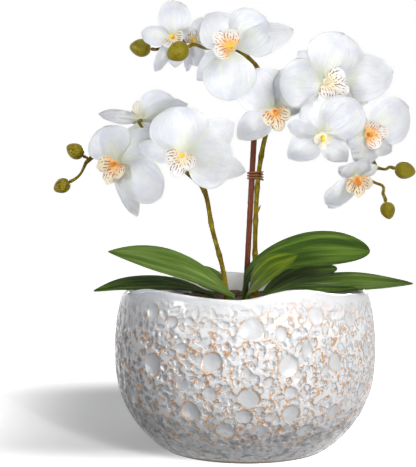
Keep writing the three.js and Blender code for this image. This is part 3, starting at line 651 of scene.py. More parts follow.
# %% Strew the chips
def add_chips(bm, chance):
    for _ in range(CHIPS):
        angle = chance.uniform(0, 2 * math.pi)
        reach = chance.random() ** 0.4 * (FILLER_RADIUS - 4 * MM)
        size = chance.uniform(3, 8) * MM
        level = bark_level(reach) - CHIP_SINK + chance.uniform(-0.3, 0.7) * MM
        place = Matrix.Translation((reach * math.cos(angle), reach * math.sin(angle), level))
        tilt = Matrix.Rotation(chance.uniform(-CHIP_TILT, CHIP_TILT), 4, "X")
        turn = tilt @ Matrix.Rotation(chance.uniform(0, 6.28), 4, "Z")
        flat = Matrix.Diagonal((size, size * chance.uniform(0.4, 0.8), 1.3 * MM, 1))
        chip = bmesh.ops.create_cube(bm, size=1, matrix=place @ turn @ flat)["verts"]
        for vert in chip:
            skewed = [chance.uniform(-CHIP_SKEW, CHIP_SKEW) * size for _ in range(2)]
            vert.co += Vector((*skewed, 0))


filler_profile = [
    (0, filler_low.z), (FILLER_RADIUS - 1 * MM, filler_low.z), (FILLER_RADIUS, filler_low.z + 1 * MM),
]
for share in (1, 0.95, 0.87, 0.78, 0.65, 0.5, 0.3, 0):
    filler_profile.append((share * FILLER_RADIUS, bark_level(share * FILLER_RADIUS) - CHIP_SINK))
bm = spun(filler_profile, ROUND_SIDES)
add_chips(bm, random.Random(CHIP_SEED))
filler = add_planted("bark_filler_chips", bm, bark(), "bark_filler")
filler.data.polygons.foreach_set("use_smooth", [False] * len(filler.data.polygons))
print("bark faces", len(filler.data.polygons))

# %% [markdown]
# ## Stems
# The stems are plastic over wire, moulded with the joints of a real flower spike: a slight swelling
# every few centimetres, with a thin collar round it, left by a small bract. A tube whose radius is
# worked out at every step holds both, and needs no separate rings.

# %% Stem measures
FILLER_TOP = RIM_MEAN_HEIGHT - 19 * MM
ROOT_END = FILLER_TOP - 42 * MM
COLLAR = FILLER_TOP + 1.6 * MM
SPIKE_RADIUS = 2.3 * MM
BRANCH_RADIUS = 1.7 * MM
PEDICEL_RADIUS = 1.25 * MM
PEG_RADIUS = 1.0 * MM
PEG_TIP = 5.38 * MM
SHOULDER = -0.9 * MM


def add_root(bm, x, y, radius, sides):
    add_tube(bm, [(x, y, ROOT_END), (x, y, COLLAR + 1 * MM)], [radius, radius], sides)


def on_axis(place, height):
    return place @ Vector((0, 0, height))


def over_rim(corner):
    return Vector(corner) * MM + Vector((0, 0, RIM_MEAN_HEIGHT))


# %% Routes of the two spikes, in millimetres from the middle of the rim
SPIKES = {
    "left": {
        "root": (-15, -4),
        "stem": [
            (-17.2, -4, 10), (-26.6, -2, 46.6), (-34.4, 0, 81), (-47, 3, 93), (-68, 9, 110),
            (-96, 15, 112.5), (-120, 19, 111), (-132, 20, 102),
        ],
        "branch": [],
    },
    "right": {
        "root": (8.7, 8),
        "stem": [
            (8.9, 8, 46), (11.3, 7, 91), (17.4, 7, 125), (24.8, 8, 145), (22, 11, 161), (12, 14, 178),
            (0, 16, 191), (-18, 18, 200), (-40, 19, 203), (-56, 16, 201),
        ],
        "branch": [
            (45, 4, 147), (66, -2, 139), (82, -8, 127), (91, -14, 114.5), (99.5, -17, 107),
            (105.5, -19, 97.5),
        ],
    },
}
BRANCH_FROM = 3
BLOOM_NODES = {
    "a": ("left", 5), "b": ("left", 3), "c": ("left", 4), "d": ("right", 9), "e": ("right", 7),
    "f": ("right", 3), "g": ("right", 10), "h": ("right", 11), "i": ("right", 12),
    "j": ("right", 14), "k": ("right", 8),
}
# Spike and node, centre, direction of the tip, length and the corners of the stalk.
BUDS = {
    "bud_1": ("right", 9, (-86, 10, 196), (-1, 0, 0.1), 18, []),
    "bud_2": ("right", 7, (-54, -36, 188.5), (-0.8, -0.2, -0.4), 19, [(-29, 4, 195), (-34, -22, 193)]),
    "bud_3": ("left", 7, (-141, 18, 111.5), (-0.8, -0.1, 0.5), 16, []),
    "bud_4": ("left", 7, (-152, 16, 82.3), (-0.85, 0, -0.45), 15, [(-137, 19, 92)]),
    "bud_5": ("right", 15, (127, -25, 95.5), (0.95, -0.05, -0.2), 17, [(112, -23, 96.5)]),
    "bud_6": (
        "right", 15, (113.5, -25, 63.5), (0.25, 0, -1), 14.5,
        [(98, -17, 90), (103, -20, 86), (110, -24, 82.5), (109.5, -25, 76)],
    ),
}
BRACTS = {"left": [(-33, -1, 77), (-39.5, -3, 87)], "right": [(9.5, 7, 60), (13.5, 4.5, 67)]}
BRACT_RADII = [1.5, 1.4, 1.2, 0.9, 0.5, 0.2]
BRACT_SIDES = 8
BUD_SOCKET = 3 * MM
BUD_PLUMPNESS = 0.42


def spike_node(side, number):
    spike = SPIKES[side]
    return over_rim((spike["stem"] + spike["branch"])[number])


# %% Stem plastic
def stem_plastic():
    finish = Finish("stem_plastic")
    mottled = finish.noise(finish.spot, 160.0, 4.0, 0.6)
    specks = finish.ramp(finish.noise(finish.spot, 620.0, 2.0), 0.56, 0.66)
    green = finish.mix(finish.ramp(mottled, 0.35, 0.65), (0.11, 0.075, 0.001), (0.25, 0.19, 0.005))
    green = finish.mix(specks, green, (0.10, 0.035, 0.002))
    uneven = finish.bump(mottled, 0.0005)
    return finish.done(Base_Color=green, Roughness=0.5, Specular_IOR_Level=0.1, Normal=uneven)


# %% A moulded stem: a tube that swells at its joints
JOINT_EVERY = 27 * MM
STEM_STEP = 1.6 * MM
THINNER = 0.85
SPIKE_SIDES = 14
PEDICEL_STEPS = 18
PEDICEL_SIDES = 10


def moulded_stem(bm, corners, radius):
    length = sum((b - a).length for a, b in zip(corners, corners[1:]))
    count = max(12, int(length / STEM_STEP))
    points = smooth_path(corners, count)
    radii = []
    for step in range(count):
        reach = length * step / (count - 1)
        since = (reach - 0.6 * JOINT_EVERY) % JOINT_EVERY
        swelling = 0.15 * math.exp(-((min(since, JOINT_EVERY - since) / (3 * MM)) ** 2))
        sleeve = 0.1 * max(0.0, 1 - since / (7 * MM)) if reach > 0.6 * JOINT_EVERY else 0
        taper = 1 + (THINNER - 1) * step / (count - 1)
        radii.append(radius * taper * (0.9 + swelling + sleeve))
    add_tube(bm, points, radii, SPIKE_SIDES)


def pedicel(bm, corners, place, peg_from, peg_to):
    flare = []
    for step in range(PEDICEL_STEPS):
        waist = math.sin(math.pi * step / (PEDICEL_STEPS - 1))
        flare.append(PEDICEL_RADIUS * (1.25 - 0.35 * waist))
    add_tube(bm, smooth_path(corners, PEDICEL_STEPS), flare, PEDICEL_SIDES)
    peg = [on_axis(place, peg_from), on_axis(place, peg_to)]
    add_tube(bm, peg, [PEG_RADIUS, PEG_RADIUS], PEDICEL_SIDES)


# %% Where the blooms and buds sit
def bloom_frame(name):
    joint = JOINTS[f"bloom_{name}_turn"]
    hub = Vector(joint["pos_m"])
    facing = Vector(joint["axis"]).normalized()
    right = (Vector((1, 0, 0)) - facing * facing.x).normalized()
    up = facing.cross(right)
    turn = Matrix((right, up, facing)).transposed()
    return Matrix.Translation(hub) @ turn.to_4x4()


def bud_frame(name):
    _, _, centre, tip, _, _ = BUDS[name]
    turn = Vector(tip).to_track_quat("Z", "Y").to_matrix()
    return Matrix.Translation(over_rim(centre)) @ turn.to_4x4()


# %% One spike with all its stalks
def flower_spike(side):
    spike = SPIKES[side]
    bm = bmesh.new()
    x, y = (value * MM for value in spike["root"])
    stem = [over_rim(corner) for corner in spike["stem"]]
    add_root(bm, x, y, SPIKE_RADIUS, SPIKE_SIDES)
    moulded_stem(bm, [Vector((x, y, COLLAR)), *stem], SPIKE_RADIUS)
    if spike["branch"]:
        branch = [stem[BRANCH_FROM], *(over_rim(corner) for corner in spike["branch"])]
        moulded_stem(bm, branch, BRANCH_RADIUS)
    foot, tip = (over_rim(corner) for corner in BRACTS[side])
    bract = smooth_path([foot, foot.lerp(tip, 0.5), tip], len(BRACT_RADII))
    add_tube(bm, bract, [radius * MM for radius in BRACT_RADII], BRACT_SIDES)
    for name, (carrier, number) in BLOOM_NODES.items():
        if carrier == side:
            place = bloom_frame(name)
            along = [on_axis(place, SHOULDER - back * MM) for back in (9, 4, 0)]
            pedicel(bm, [spike_node(side, number), *along], place, SHOULDER - 1 * MM, PEG_TIP)
    for name, (carrier, number, _, _, length, stalk) in BUDS.items():
        if carrier == side:
            place = bud_frame(name)
            base = -length / 2 * MM
            along = [on_axis(place, base - back * MM) for back in (4.3, 0.3)]
            corners = [spike_node(side, number), *(over_rim(corner) for corner in stalk), *along]
            pedicel(bm, corners, place, base - 1.3 * MM, base + BUD_SOCKET)
    return bm


# %% Make both spikes
STEM = stem_plastic()
for side in SPIKES:
    bm = flower_spike(side)
    spike = add_planted(f"spike_{side}_stem", bm, STEM, f"flower_spike_{side}")
    print(spike.name, len(spike.data.polygons))

# %% [markdown]
# ## Stake and tie
# A thin brown stake stands beside the right spike, and a coppery wire is wound three times round
# both. The wire is one helix whose turns are stretched sideways, so that they pass round two round
# bars instead of one.

# %% Measures of stake and tie
STAKE_RADIUS = 2.5 * MM
STAKE_ROOT = Vector((0.4, 8)) * MM
STAKE_AT_TIE = Vector((6, 7)) * MM
STAKE_TOP = RIM_MEAN_HEIGHT + 136 * MM
TIE_HEIGHT = RIM_MEAN_HEIGHT + 91 * MM
TIE_WIRE_RADIUS = 0.75 * MM
TIE_TURNS = 3
TIE_PITCH = 2.2 * MM
TIE_STEPS_PER_TURN = 48
TIE_SIDES = 10
STAKE_SIDES = 20
STAKE_STEPS = 60
STAKE_SEED = 5


# %% Their paths
def stake_axis(height):
    share = (height - FILLER_TOP) / (TIE_HEIGHT - FILLER_TOP)
    x, y = STAKE_ROOT + (STAKE_AT_TIE - STAKE_ROOT) * share
    return Vector((x, y, height))


def tie_path():
    left = stake_axis(TIE_HEIGHT)
    right = over_rim(SPIKES["right"]["stem"][1])
    centre = (left + right) / 2
    half_span = (right.x - left.x) / 2
    around = STAKE_RADIUS + TIE_WIRE_RADIUS + 0.3 * MM
    points = []
    for step in range(TIE_TURNS * TIE_STEPS_PER_TURN + 1):
        angle = 2 * math.pi * step / TIE_STEPS_PER_TURN
        spread = half_span * max(-1.0, min(1.0, 2 * math.cos(angle)))
        rise = TIE_PITCH * (step / TIE_STEPS_PER_TURN - TIE_TURNS / 2)
        x = centre.x + spread + around * math.cos(angle)
        points.append(Vector((x, centre.y + around * math.sin(angle), TIE_HEIGHT + rise)))
    first = points[0] + (points[0] - points[1]).normalized() * 2 * TIE_WIRE_RADIUS
    last = points[-1] + (points[-1] - points[-2]).normalized() * 2 * TIE_WIRE_RADIUS
    return [first, *points, last]


# %% Make stake and tie
def stained_plastic(name, dark, light, rough):
    finish = Finish(name)
    lines = finish.grain(finish.spot, (900.0, 900.0, 60.0), 3.0)
    brown = finish.mix(lines, dark, light)
    drawn = finish.bump(lines, 0.0004)
    return finish.done(Base_Color=brown, Roughness=rough, Specular_IOR_Level=0.15, Normal=drawn)


bm = bmesh.new()
add_root(bm, *STAKE_ROOT, STAKE_RADIUS, STAKE_SIDES)
axis = [stake_axis(height) for height in np.linspace(COLLAR, STAKE_TOP, STAKE_STEPS)]
wander = random.Random(STAKE_SEED)
add_tube(bm, axis, [STAKE_RADIUS * wander.uniform(0.94, 1) for _ in axis], STAKE_SIDES)
STAKE_BROWN = stained_plastic("stake_plastic", (0.05, 0.010, 0.003), (0.22, 0.055, 0.022), 0.5)
add_planted("stake_round", bm, STAKE_BROWN, "support_stake")

bm = bmesh.new()
turns = tie_path()
add_tube(bm, turns, [TIE_WIRE_RADIUS] * len(turns), TIE_SIDES)
TIE_COPPER = stained_plastic("tie_plastic", (0.16, 0.05, 0.02), (0.36, 0.14, 0.06), 0.4)
add_planted("tie_wound_wire", bm, TIE_COPPER, "stake_tie")
print("tie steps", len(turns))

# %% [markdown]
# ## Leaves
# A leaf is a stiff strap, folded along its midrib, that rises from its socket and arches over the
# rim. It starts as a flat grid. Every point of the grid is carried to the midrib's curve, out
# sideways by the leaf's width there, and up by the fold. The grid's own UV map then follows the
# leaf, so the parallel veins can be drawn along it. `solidify` gives the sheet its thickness.

# %% Leaf shapes
# Root, half-width, where it is widest, how far the front edge dips, fold, and the midrib.
LEAVES = {
    "leaf_left_upper": (
        (-8, -11), 14, 1.05, 50, 0.15,
        [(-9, -12, -8), (-32, -25, 8), (-60, -42, 21.5), (-84, -50, 28.5), (-108, -55, 32.5)],
    ),
    "leaf_left_lower": (
        (-23, -7), 9, 1.2, 36, 0.1,
        [(-24, -7, -8), (-46, -12, 0), (-72, -17, 4), (-98, -22, 3.5), (-122, -26, -1.5)],
    ),
    "leaf_left_back": (
        (-12, 14), 11, 1, 35, 0.2,
        [(-13, 15, -10), (-22, 26, -2), (-38, 44, 5), (-56, 60, 7)],
    ),
    "leaf_right_large": (
        (-1, -4), 16.5, 1.6, 58, 0.1,
        [(-1, -4, -8), (4, -7, 10), (18, -11, 21), (42, -18, 29), (70, -26, 32.5), (98.5, -33, 31)],
    ),
    "leaf_right_front": (
        (1, -21), 15, 0.85, 45, 0.12,
        [(1, -21, -9), (7, -28, 5), (21, -34, 18), (41, -39, 28)],
    ),
    "leaf_right_back": (
        (15, 18), 12, 1, 35, 0.1,
        [(16, 18, -9), (38, 21, 3), (60, 25, 10), (79, 28, 12)],
    ),
    "leaf_right_long": (
        (19, 1), 10, 1.1, 42, 0.1,
        [(20, 1, -8), (38, -4, 0), (58, -9, 3), (90, -16, 5), (117, -22, 4.6), (134, -27, 4.6)],
    ),
    "leaf_right_short": (
        (15, -13), 7.5, 1, 35, 0.12,
        [(16, -13, -8), (36, -24, -2), (60, -34, 0.5), (88, -46, 2.5)],
    ),
}
BLUNTNESS = {"leaf_right_large": 0.55, "leaf_right_back": 0.55}
LEAF_BASE_HALF_WIDTH = 3 * MM
LEAF_THICKNESS = 1.3 * MM
STALK_RADIUS = 1.6 * MM
STALK_SIDES = 12
STALK_STEPS = 14
LEAF_ROWS = 56
LEAF_COLUMNS = 12
MIDRIB_LAST = 399


# %% Bend a grid into a sheet
def sheet(bm, surface, rows, columns, thickness):
    part = bmesh.new()
    part.loops.layers.uv.new("along")
    bmesh.ops.create_grid(part, x_segments=rows, y_segments=columns, size=0.5, calc_uvs=True)
    for vert in part.verts:
        vert.co = surface(vert.co.x + 0.5, 2 * vert.co.y)
    part.normal_update()
    bmesh.ops.solidify(part, geom=part.faces[:], thickness=thickness)
    bmesh.ops.recalc_face_normals(part, faces=part.faces)
    merge_into(bm, part)


# %% Shape a leaf
def leaf_half_width(half_width, peak, share, bluntness):
    body = half_width * math.sin(math.pi * min(0.9995 * share, 1) ** peak) ** bluntness
    return max(body, LEAF_BASE_HALF_WIDTH * (1 - share), 0.15 * MM)


def leaf(name):
    root, half_width, peak, dip, fold, corners = LEAVES[name]
    chance = random.Random(name)
    midrib = smooth_path([over_rim(corner) for corner in corners], MIDRIB_LAST + 1)
    bluntness = BLUNTNESS.get(name, 0.8)
    points_right = 1 if corners[-1][0] > corners[0][0] else -1
    half_width, dip = half_width * MM, math.radians(dip)
    waves = [chance.uniform(0, 6.28) for _ in range(4)]

    def surface(share, side):
        share = 1 - (1 - share) ** 1.25
        step = min(int(share * MIDRIB_LAST), MIDRIB_LAST - 1)
        spot = midrib[step].lerp(midrib[step + 1], share * MIDRIB_LAST - step)
        along = (midrib[min(step + 4, MIDRIB_LAST)] - midrib[max(step - 3, 0)]).normalized()
        level = Vector((along.y, -along.x, 0)).normalized()
        if level.y > 0:
            level.negate()
        up = level.cross(along)
        if up.z < 0:
            up.negate()
        front = level * math.cos(dip) - up * math.sin(dip)
        above = level * math.sin(dip) + up * math.cos(dip)
        width = leaf_half_width(half_width, peak, share, bluntness)
        groove = math.exp(-((side / 0.09) ** 2)) * min(1, 6 * (1 - share))
        wave = abs(side) ** 2 * math.sin(9 * share + waves[side > 0]) + 0.5 * math.sin(5 * share + waves[2])
        lift = width * fold * abs(side) + (0.6 * wave - 0.7 * groove) * MM * math.sin(math.pi * share)
        return spot + front * width * side * points_right + above * lift

    bm = bmesh.new()
    sheet(bm, surface, LEAF_ROWS, LEAF_COLUMNS, LEAF_THICKNESS)
    x, y = (value * MM for value in root)
    bend = [midrib[int(MIDRIB_LAST * share)] for share in (0.03, 0.1)]
    add_root(bm, x, y, STALK_RADIUS, STALK_SIDES)
    stalk = smooth_path([Vector((x, y, COLLAR)), *bend], STALK_STEPS)
    add_tube(bm, stalk, [STALK_RADIUS * 1.1] * STALK_STEPS, STALK_SIDES)
    return bm


# %% Leaf fabric
def leaf_fabric(name, dark, light, streak):
    finish = Finish(name)
    spot = finish.spot
    path = finish.path
    veins = finish.grain(path, (1.2, 52.0, 1.0), 2.0)
    patches = finish.grain(path, (1.6, 5.0, 1.0), 2.0)
    cloudy = finish.noise(spot, 30.0, 2.0)
    green = finish.mix(finish.ramp(patches, 0.35, 0.65), dark, light)
    green = finish.mix(finish.times(finish.ramp(veins, 0.44, 0.58), 0.65), green, dark)
    green = finish.mix(finish.times(finish.ramp(cloudy, 0.58, 0.72), 0.6), green, streak)
    _, across, _ = finish.split(path)
    middle = finish.apart(across, 0.5)
    green = finish.mix(finish.times(finish.ramp(middle, 0.03, 0.0), 0.5), green, light)
    ridged = finish.bump(veins, 0.0012)
    woven = finish.bump(finish.noise(spot, 700.0, 2.0), 0.0002, 0.6, ridged)
    return finish.done(Base_Color=green, Roughness=0.36, Specular_IOR_Level=0.12, Normal=woven)


DEEP_LEAF = leaf_fabric("leaf_deep_green", (0.025, 0.06, 0.003), (0.16, 0.27, 0.03), (0.08, 0.11, 0.012))
# A lighter copy of the leaf green for two leaves: painted light where those leaves are lit.
LIT_LEAF = leaf_fabric("leaf_green_lit_copy", (0.08, 0.15, 0.012), (0.24, 0.37, 0.09), (0.14, 0.16, 0.04))
YOUNG_LEAF = leaf_fabric("leaf_young_green", (0.05, 0.10, 0.001), (0.30, 0.38, 0.012), (0.13, 0.15, 0.006))
LEAF_FABRICS = {"leaf_right_front": YOUNG_LEAF, "leaf_left_upper": LIT_LEAF, "leaf_right_long": LIT_LEAF}
for name in LEAVES:
    fabric = LEAF_FABRICS.get(name, DEEP_LEAF)
    add_detail(add_planted(f"{name}_strap", leaf(name), fabric, name))
print("leaves", len(LEAVES))

# %% [markdown]
# ## Buds
# A closed bud is three sepals pressed together, so it is a plump drop with three seams. The drop is
# a turned shape, and each ring is drawn in a little where a seam runs.

# %% Bud shapes
BUD_SIDES = 48
BUD_RINGS = 25


def bud(name):
    length = BUDS[name][4] * MM
    half = length / 2
    radius = length * BUD_PLUMPNESS
    profile = [(0, -half)]
    for step in range(1, BUD_RINGS):
        share = step / BUD_RINGS
        swell = math.sin(math.pi * share**0.88) ** 0.52
        pointed = 1 - 0.16 * share**3
        profile.append((radius * swell * pointed, -half + length * share))
    profile.append((0, half))
    bm = spun(profile, BUD_SIDES)
    for vert in bm.verts:
        angle = math.atan2(vert.co.y, vert.co.x)
        seam = math.exp(-((math.asin(math.sin(1.5 * angle)) / 0.16) ** 2))
        rise = (vert.co.z + half) / length
        shrink = 1 - 0.09 * seam * math.sin(math.pi * min(1, 0.15 + 0.85 * rise))
        vert.co.x *= shrink
        vert.co.y *= shrink
    bmesh.ops.transform(bm, matrix=bud_frame(name), verts=bm.verts)
    return bm


# %% Bud plastic, and the six buds
def bud_plastic():
    finish = Finish("bud_plastic")
    spot = finish.spot
    cloudy = finish.noise(spot, 110.0, 3.0)
    streaks = finish.ramp(finish.noise(spot, 240.0, 3.0), 0.5, 0.68)
    olive = finish.mix(cloudy, (0.16, 0.115, 0.001), (0.33, 0.28, 0.004))
    olive = finish.mix(finish.times(streaks, 0.6), olive, (0.16, 0.06, 0.004))
    return finish.done(
        Base_Color=olive, Roughness=0.35, Normal=finish.grained(500.0, 0.0003),
        Specular_IOR_Level=0.15, Coat_Weight=0.1, Coat_Roughness=0.15,
    )


BUD_OLIVE = bud_plastic()
for name in BUDS:
    add_planted(f"{name}_closed", bud(name), BUD_OLIVE, name)
print("buds", len(BUDS))

# %% [markdown]
# ## Blooms
# An orchid flower has three narrow sepals behind two broad petals, and in front of them the lip:
# two small wings curled up beside a pointed tongue, under the column. The artificial ones are
# stamped from wired fabric in those three layers, on one hub. Each lobe is a grid again. It gets
# its width from a formula, curls and ripples by small amounts that differ from lobe to lobe, and
# a thin shell from `solidify`.

# %% The blooms: lip angle and size, then petals and sepals as angle, length and half-width
BLOOMS = {
    "a": ((-112, 1), [(114, 31, 21.5), (-30, 46.5, 19.5)], [(44, 40, 13), (-73, 46.5, 9), (108, 28, 10)]),
    "b": ((-108, 1), [(100, 38, 24), (-13, 40, 21.5)], [(170, 39, 9.5), (33, 46, 16), (-15, 50, 12)]),
    "c": ((105, 0.9), [(38, 33, 15.5), (-92, 34, 17)], [(171, 35, 6.5), (22, 43, 11), (-30, 26, 8)]),
    "d": ((-60, 0.75), [(90, 30, 13.5), (171, 27, 8.5)], [(-124, 31, 6), (-88, 23, 8.5), (40, 13, 5)]),
    "e": ((142, 1), [(38, 35, 22), (-95, 41, 21.5)], [(16, 49, 13), (126, 36, 17), (-142, 37, 11)]),
    "f": ((-75, 0.9), [(50, 38, 20), (122, 38, 20)], [(-140, 37, 13), (88, 32, 11), (8, 26, 8)]),
    "g": ((-30, 1.05), [(67, 40, 24.5), (184, 37, 20)], [(7, 55, 19), (130, 32, 11), (-22, 39, 14)]),
    "h": ((-90, 0.55), [(45, 38, 19), (163, 28, 8)], [(112, 30, 14), (-140, 34, 12.5), (-51, 31, 10.5)]),
    "i": ((5, 0.92), [(29, 40, 19.5), (-163, 18, 13)], [(116, 24, 6), (-33, 27, 10), (-92, 27, 12)]),
    "j": ((-80, 0.85), [(104, 15, 11), (-129, 34, 10.5)], [(152, 16, 6), (60, 16, 8), (18, 19, 6)]),
    "k": ((90, 0.55), [(62, 21, 7), (-73, 21, 8)], [(15, 17, 6), (-98, 24, 4.5), (120, 15, 5)]),
}

# %% Lobe forms and measures
# Peak, fullness and waist of its width, how far the tip comes forward, and how far the edges do.
PETAL = (1.05, 0.48, 0.1, -0.03, -0.05)
SEPAL = (0.9, 0.72, 0.1, -0.16, -0.03)
TONGUE = (1.2, 0.5, 0.05, 0.35, -0.1)
WING = (1.05, 0.5, 0.05, 0.6, 0.15)
ROUND_SEPAL = 18
SEPAL_LEVEL = 0.0
PETAL_LEVEL = 1.59 * MM
LIP_LEVEL = 3.18 * MM
HUB_RADIUS = 3.4 * MM
LOBE_START = 1.7 * MM
CLAW = 1.1 * MM
PETAL_THICKNESS = 0.55 * MM
PILLOW = 0.085
LAYER_GRID = (26, 18)
TONGUE_GRID = (18, 10)
WING_GRID = (14, 10)


# %% How a lobe is shaped
def lobe_half_width(form, half_width, share):
    peak, fullness, waist, _, _ = form
    reached = min(0.9985 * share, 1)
    body = math.sin(math.pi * reached**peak) ** fullness
    narrowed = 1 - math.exp(-((reached / waist) ** 1.3))
    claw = CLAW * min(1, 8 * (1 - share))
    return claw + (half_width - CLAW) * body * narrowed


def add_lobe(bm, form, size, level, chance, grid, ripple):
    angle = math.radians(size[0])
    length, half_width = size[1] * MM, size[2] * MM
    tip_rise, edge_rise = form[3:]
    outward = Vector((math.cos(angle), math.sin(angle), 0))
    across = Vector((-outward.y, outward.x, 0))
    phases = [chance.uniform(0, 2 * math.pi) for _ in range(5)]
    curl = chance.uniform(-0.03, 0.05)

    def surface(share, side):
        share = 1 - (1 - share) ** 1.6
        width = lobe_half_width(form, half_width, share) * side
        spot = outward * (LOBE_START + (length - LOBE_START) * share) + across * width
        wave = abs(side) ** 3 * math.sin(10 * share + phases[side > 0])
        fold = math.cos(4.6 * side + phases[2]) * 0.7 + 0.45 * math.sin(8 * share + phases[3])
        groove = math.exp(-((side / 0.07) ** 2)) * (1 - share)
        relief = ripple * (wave + fold * math.sin(math.pi * share) - 0.8 * groove)
        relief += PILLOW * length * (1 - side**2) * math.sin(math.pi * share**1.3) ** 2
        spot.z = level + tip_rise * length * share**2 + edge_rise * width**2 / half_width
        spot.z += relief + curl * length * share**3 * side
        return spot

    sheet(bm, surface, *grid, PETAL_THICKNESS)


def add_hub(bm, level, thickness):
    made = bmesh.ops.create_uvsphere(bm, u_segments=20, v_segments=10, radius=HUB_RADIUS)["verts"]
    bmesh.ops.scale(bm, vec=(1, 1, thickness / (2 * HUB_RADIUS)), verts=made)
    bmesh.ops.translate(bm, vec=(0, 0, level), verts=made)


# %% Petal fabric
def petal_fabric(name, white, shade, throat, throat_reach):
    finish = Finish(name)
    spot = finish.spot
    path = finish.path
    veins = finish.grain(path, (1.6, 34.0, 1.0), 2.0)
    lines = finish.ramp(veins, 0.5, 0.64)
    cloudy = finish.noise(spot, 70.0, 2.0)
    along, across, _ = finish.split(path)
    from_middle = finish.apart(across, 0.5)
    colour = finish.mix(finish.ramp(cloudy, 0.35, 0.7, 0.1, 0.8), white, shade)
    # Paler side edges: a painted highlight along each lobe's edge.
    colour = finish.mix(finish.ramp(from_middle, 0.36, 0.5, 0.0, 0.8), colour, (0.93, 0.93, 0.95))
    colour = finish.mix(finish.times(lines, finish.ramp(along, 1.0, 0.1, 0.6, 0.35)), colour, shade)
    middle = finish.times(finish.ramp(along, 0.62, 0.2), finish.ramp(from_middle, 0.42, 0.05))
    tinged = finish.times(middle, finish.ramp(finish.noise(spot, 38.0, 1.0), 0.4, 0.6, 0.05, 0.45))
    colour = finish.mix(tinged, colour, throat)
    colour = finish.mix(finish.times(finish.ramp(along, throat_reach, 0.0), 0.8), colour, throat)
    ribbed = finish.bump(veins, 0.0012)
    woven = finish.bump(finish.noise(spot, 1800.0, 1.0), 0.00008, 0.5, ribbed)
    return finish.done(
        Base_Color=colour, Roughness=0.6, Specular_IOR_Level=0.25, Normal=woven,
        Sheen_Weight=0.15, Sheen_Roughness=0.4, Subsurface_Weight=0.6,
        Subsurface_Radius=(0.004, 0.004, 0.005), Subsurface_Scale=1.0,
    )


# %% Lip fabric: red-brown stripes that fan out from the throat
def lip_fabric(name, pale, warm, stripe, stripe_count):
    finish = Finish(name)
    spot = finish.spot
    along, across, _ = finish.split(finish.path)
    wander = finish.times(finish.noise(spot, 260.0, 2.0), 9.0)
    turns = finish.math("ADD", finish.times(across, 2 * math.pi * stripe_count), wander)
    stripes = finish.ramp(finish.math("SINE", turns, 0.0), 0.3, 0.7)
    dashes = finish.ramp(finish.noise(spot, 420.0, 2.0), 0.44, 0.52)
    reach = finish.times(finish.ramp(along, 0.82, 0.55), finish.ramp(along, 0.05, 0.2))
    stripes = finish.times(finish.times(stripes, dashes), reach)
    colour = finish.mix(finish.ramp(along, 0.5, 0.1), pale, warm)
    colour = finish.mix(finish.times(stripes, 0.9), colour, stripe)
    woven = finish.grained(500.0, 0.0002)
    return finish.done(Base_Color=colour, Roughness=0.5, Specular_IOR_Level=0.3, Normal=woven)


# %% Column plastic, and every material of the blooms
def column_plastic(name, dark, light):
    finish = Finish(name)
    colour = finish.mix(finish.noise(finish.spot, 260.0, 2.0), dark, light)
    uneven = finish.grained(900.0, 0.0002)
    return finish.done(Base_Color=colour, Roughness=0.4, Specular_IOR_Level=0.4, Normal=uneven)


PETAL_WHITE = petal_fabric("petal_white", (0.87, 0.875, 0.93), (0.70, 0.71, 0.82), (0.80, 0.81, 0.54), 0.22)
SEPAL_WHITE = petal_fabric("sepal_white", (0.87, 0.875, 0.92), (0.72, 0.72, 0.81), (0.78, 0.79, 0.54), 0.18)
LIP_WHITE = lip_fabric("lip_white", (0.83, 0.81, 0.79), (0.84, 0.72, 0.50), (0.15, 0.02, 0.015), 6)
LIP_ORANGE = lip_fabric("lip_orange", (0.82, 0.80, 0.76), (0.86, 0.50, 0.16), (0.40, 0.12, 0.03), 6)
LIP_AMBER = lip_fabric("lip_amber", (0.80, 0.72, 0.54), (0.82, 0.50, 0.22), (0.22, 0.03, 0.01), 5)
LIP_PALE = lip_fabric("lip_pale", (0.80, 0.78, 0.70), (0.80, 0.74, 0.56), (0.66, 0.56, 0.38), 5)
YELLOW = column_plastic("column_yellow", (0.86, 0.50, 0.01), (0.92, 0.72, 0.06))
ORANGE = column_plastic("column_orange", (0.72, 0.14, 0.01), (0.90, 0.40, 0.03))
CREAM = column_plastic("column_cream", (0.84, 0.70, 0.40), (0.88, 0.82, 0.62))
LIP_FINISHES = {
    "a": (LIP_AMBER, ORANGE), "b": (LIP_WHITE, YELLOW), "c": (LIP_PALE, CREAM), "d": (LIP_WHITE, YELLOW),
    "e": (LIP_ORANGE, YELLOW), "f": (LIP_AMBER, ORANGE), "g": (LIP_WHITE, CREAM), "h": (LIP_PALE, YELLOW),
    "i": (LIP_ORANGE, ORANGE), "j": (LIP_AMBER, ORANGE), "k": (LIP_WHITE, YELLOW),
}

# %% Make the lip
TONGUE_SIZE = (17, 6.8)
WING_SIZE = (13, 7)
WING_SPREAD = 62
COLUMN_RADIUS = 2.0 * MM
COLUMN_LENGTH = 8 * MM
COLUMN_SIDES = 20


def add_column(bm):
    rings = [(0.0, 1.0), (0.3, 0.84), (0.62, 0.82), (0.8, 1.0), (0.93, 0.86), (1.0, 0.35)]
    profile = [(0, LIP_LEVEL)]
    profile += [(COLUMN_RADIUS * width, LIP_LEVEL + COLUMN_LENGTH * share) for share, width in rings]
    profile.append((0, LIP_LEVEL + COLUMN_LENGTH))
    part = spun(profile, COLUMN_SIDES)
    for face in part.faces:
        face.material_index = 1
    merge_into(bm, part)


def lip(angle, size, chance):
    bm = bmesh.new()
    tongue, wing = ([value * size for value in lobe] for lobe in (TONGUE_SIZE, WING_SIZE))
    add_lobe(bm, TONGUE, (angle, *tongue), LIP_LEVEL, chance, TONGUE_GRID, 0.3 * MM)
    for turn in (-WING_SPREAD, WING_SPREAD):
        add_lobe(bm, WING, (angle + turn, *wing), LIP_LEVEL, chance, WING_GRID, 0.2 * MM)
    add_hub(bm, LIP_LEVEL + 0.2 * MM, 1.6 * MM)
    add_column(bm)
    return bm


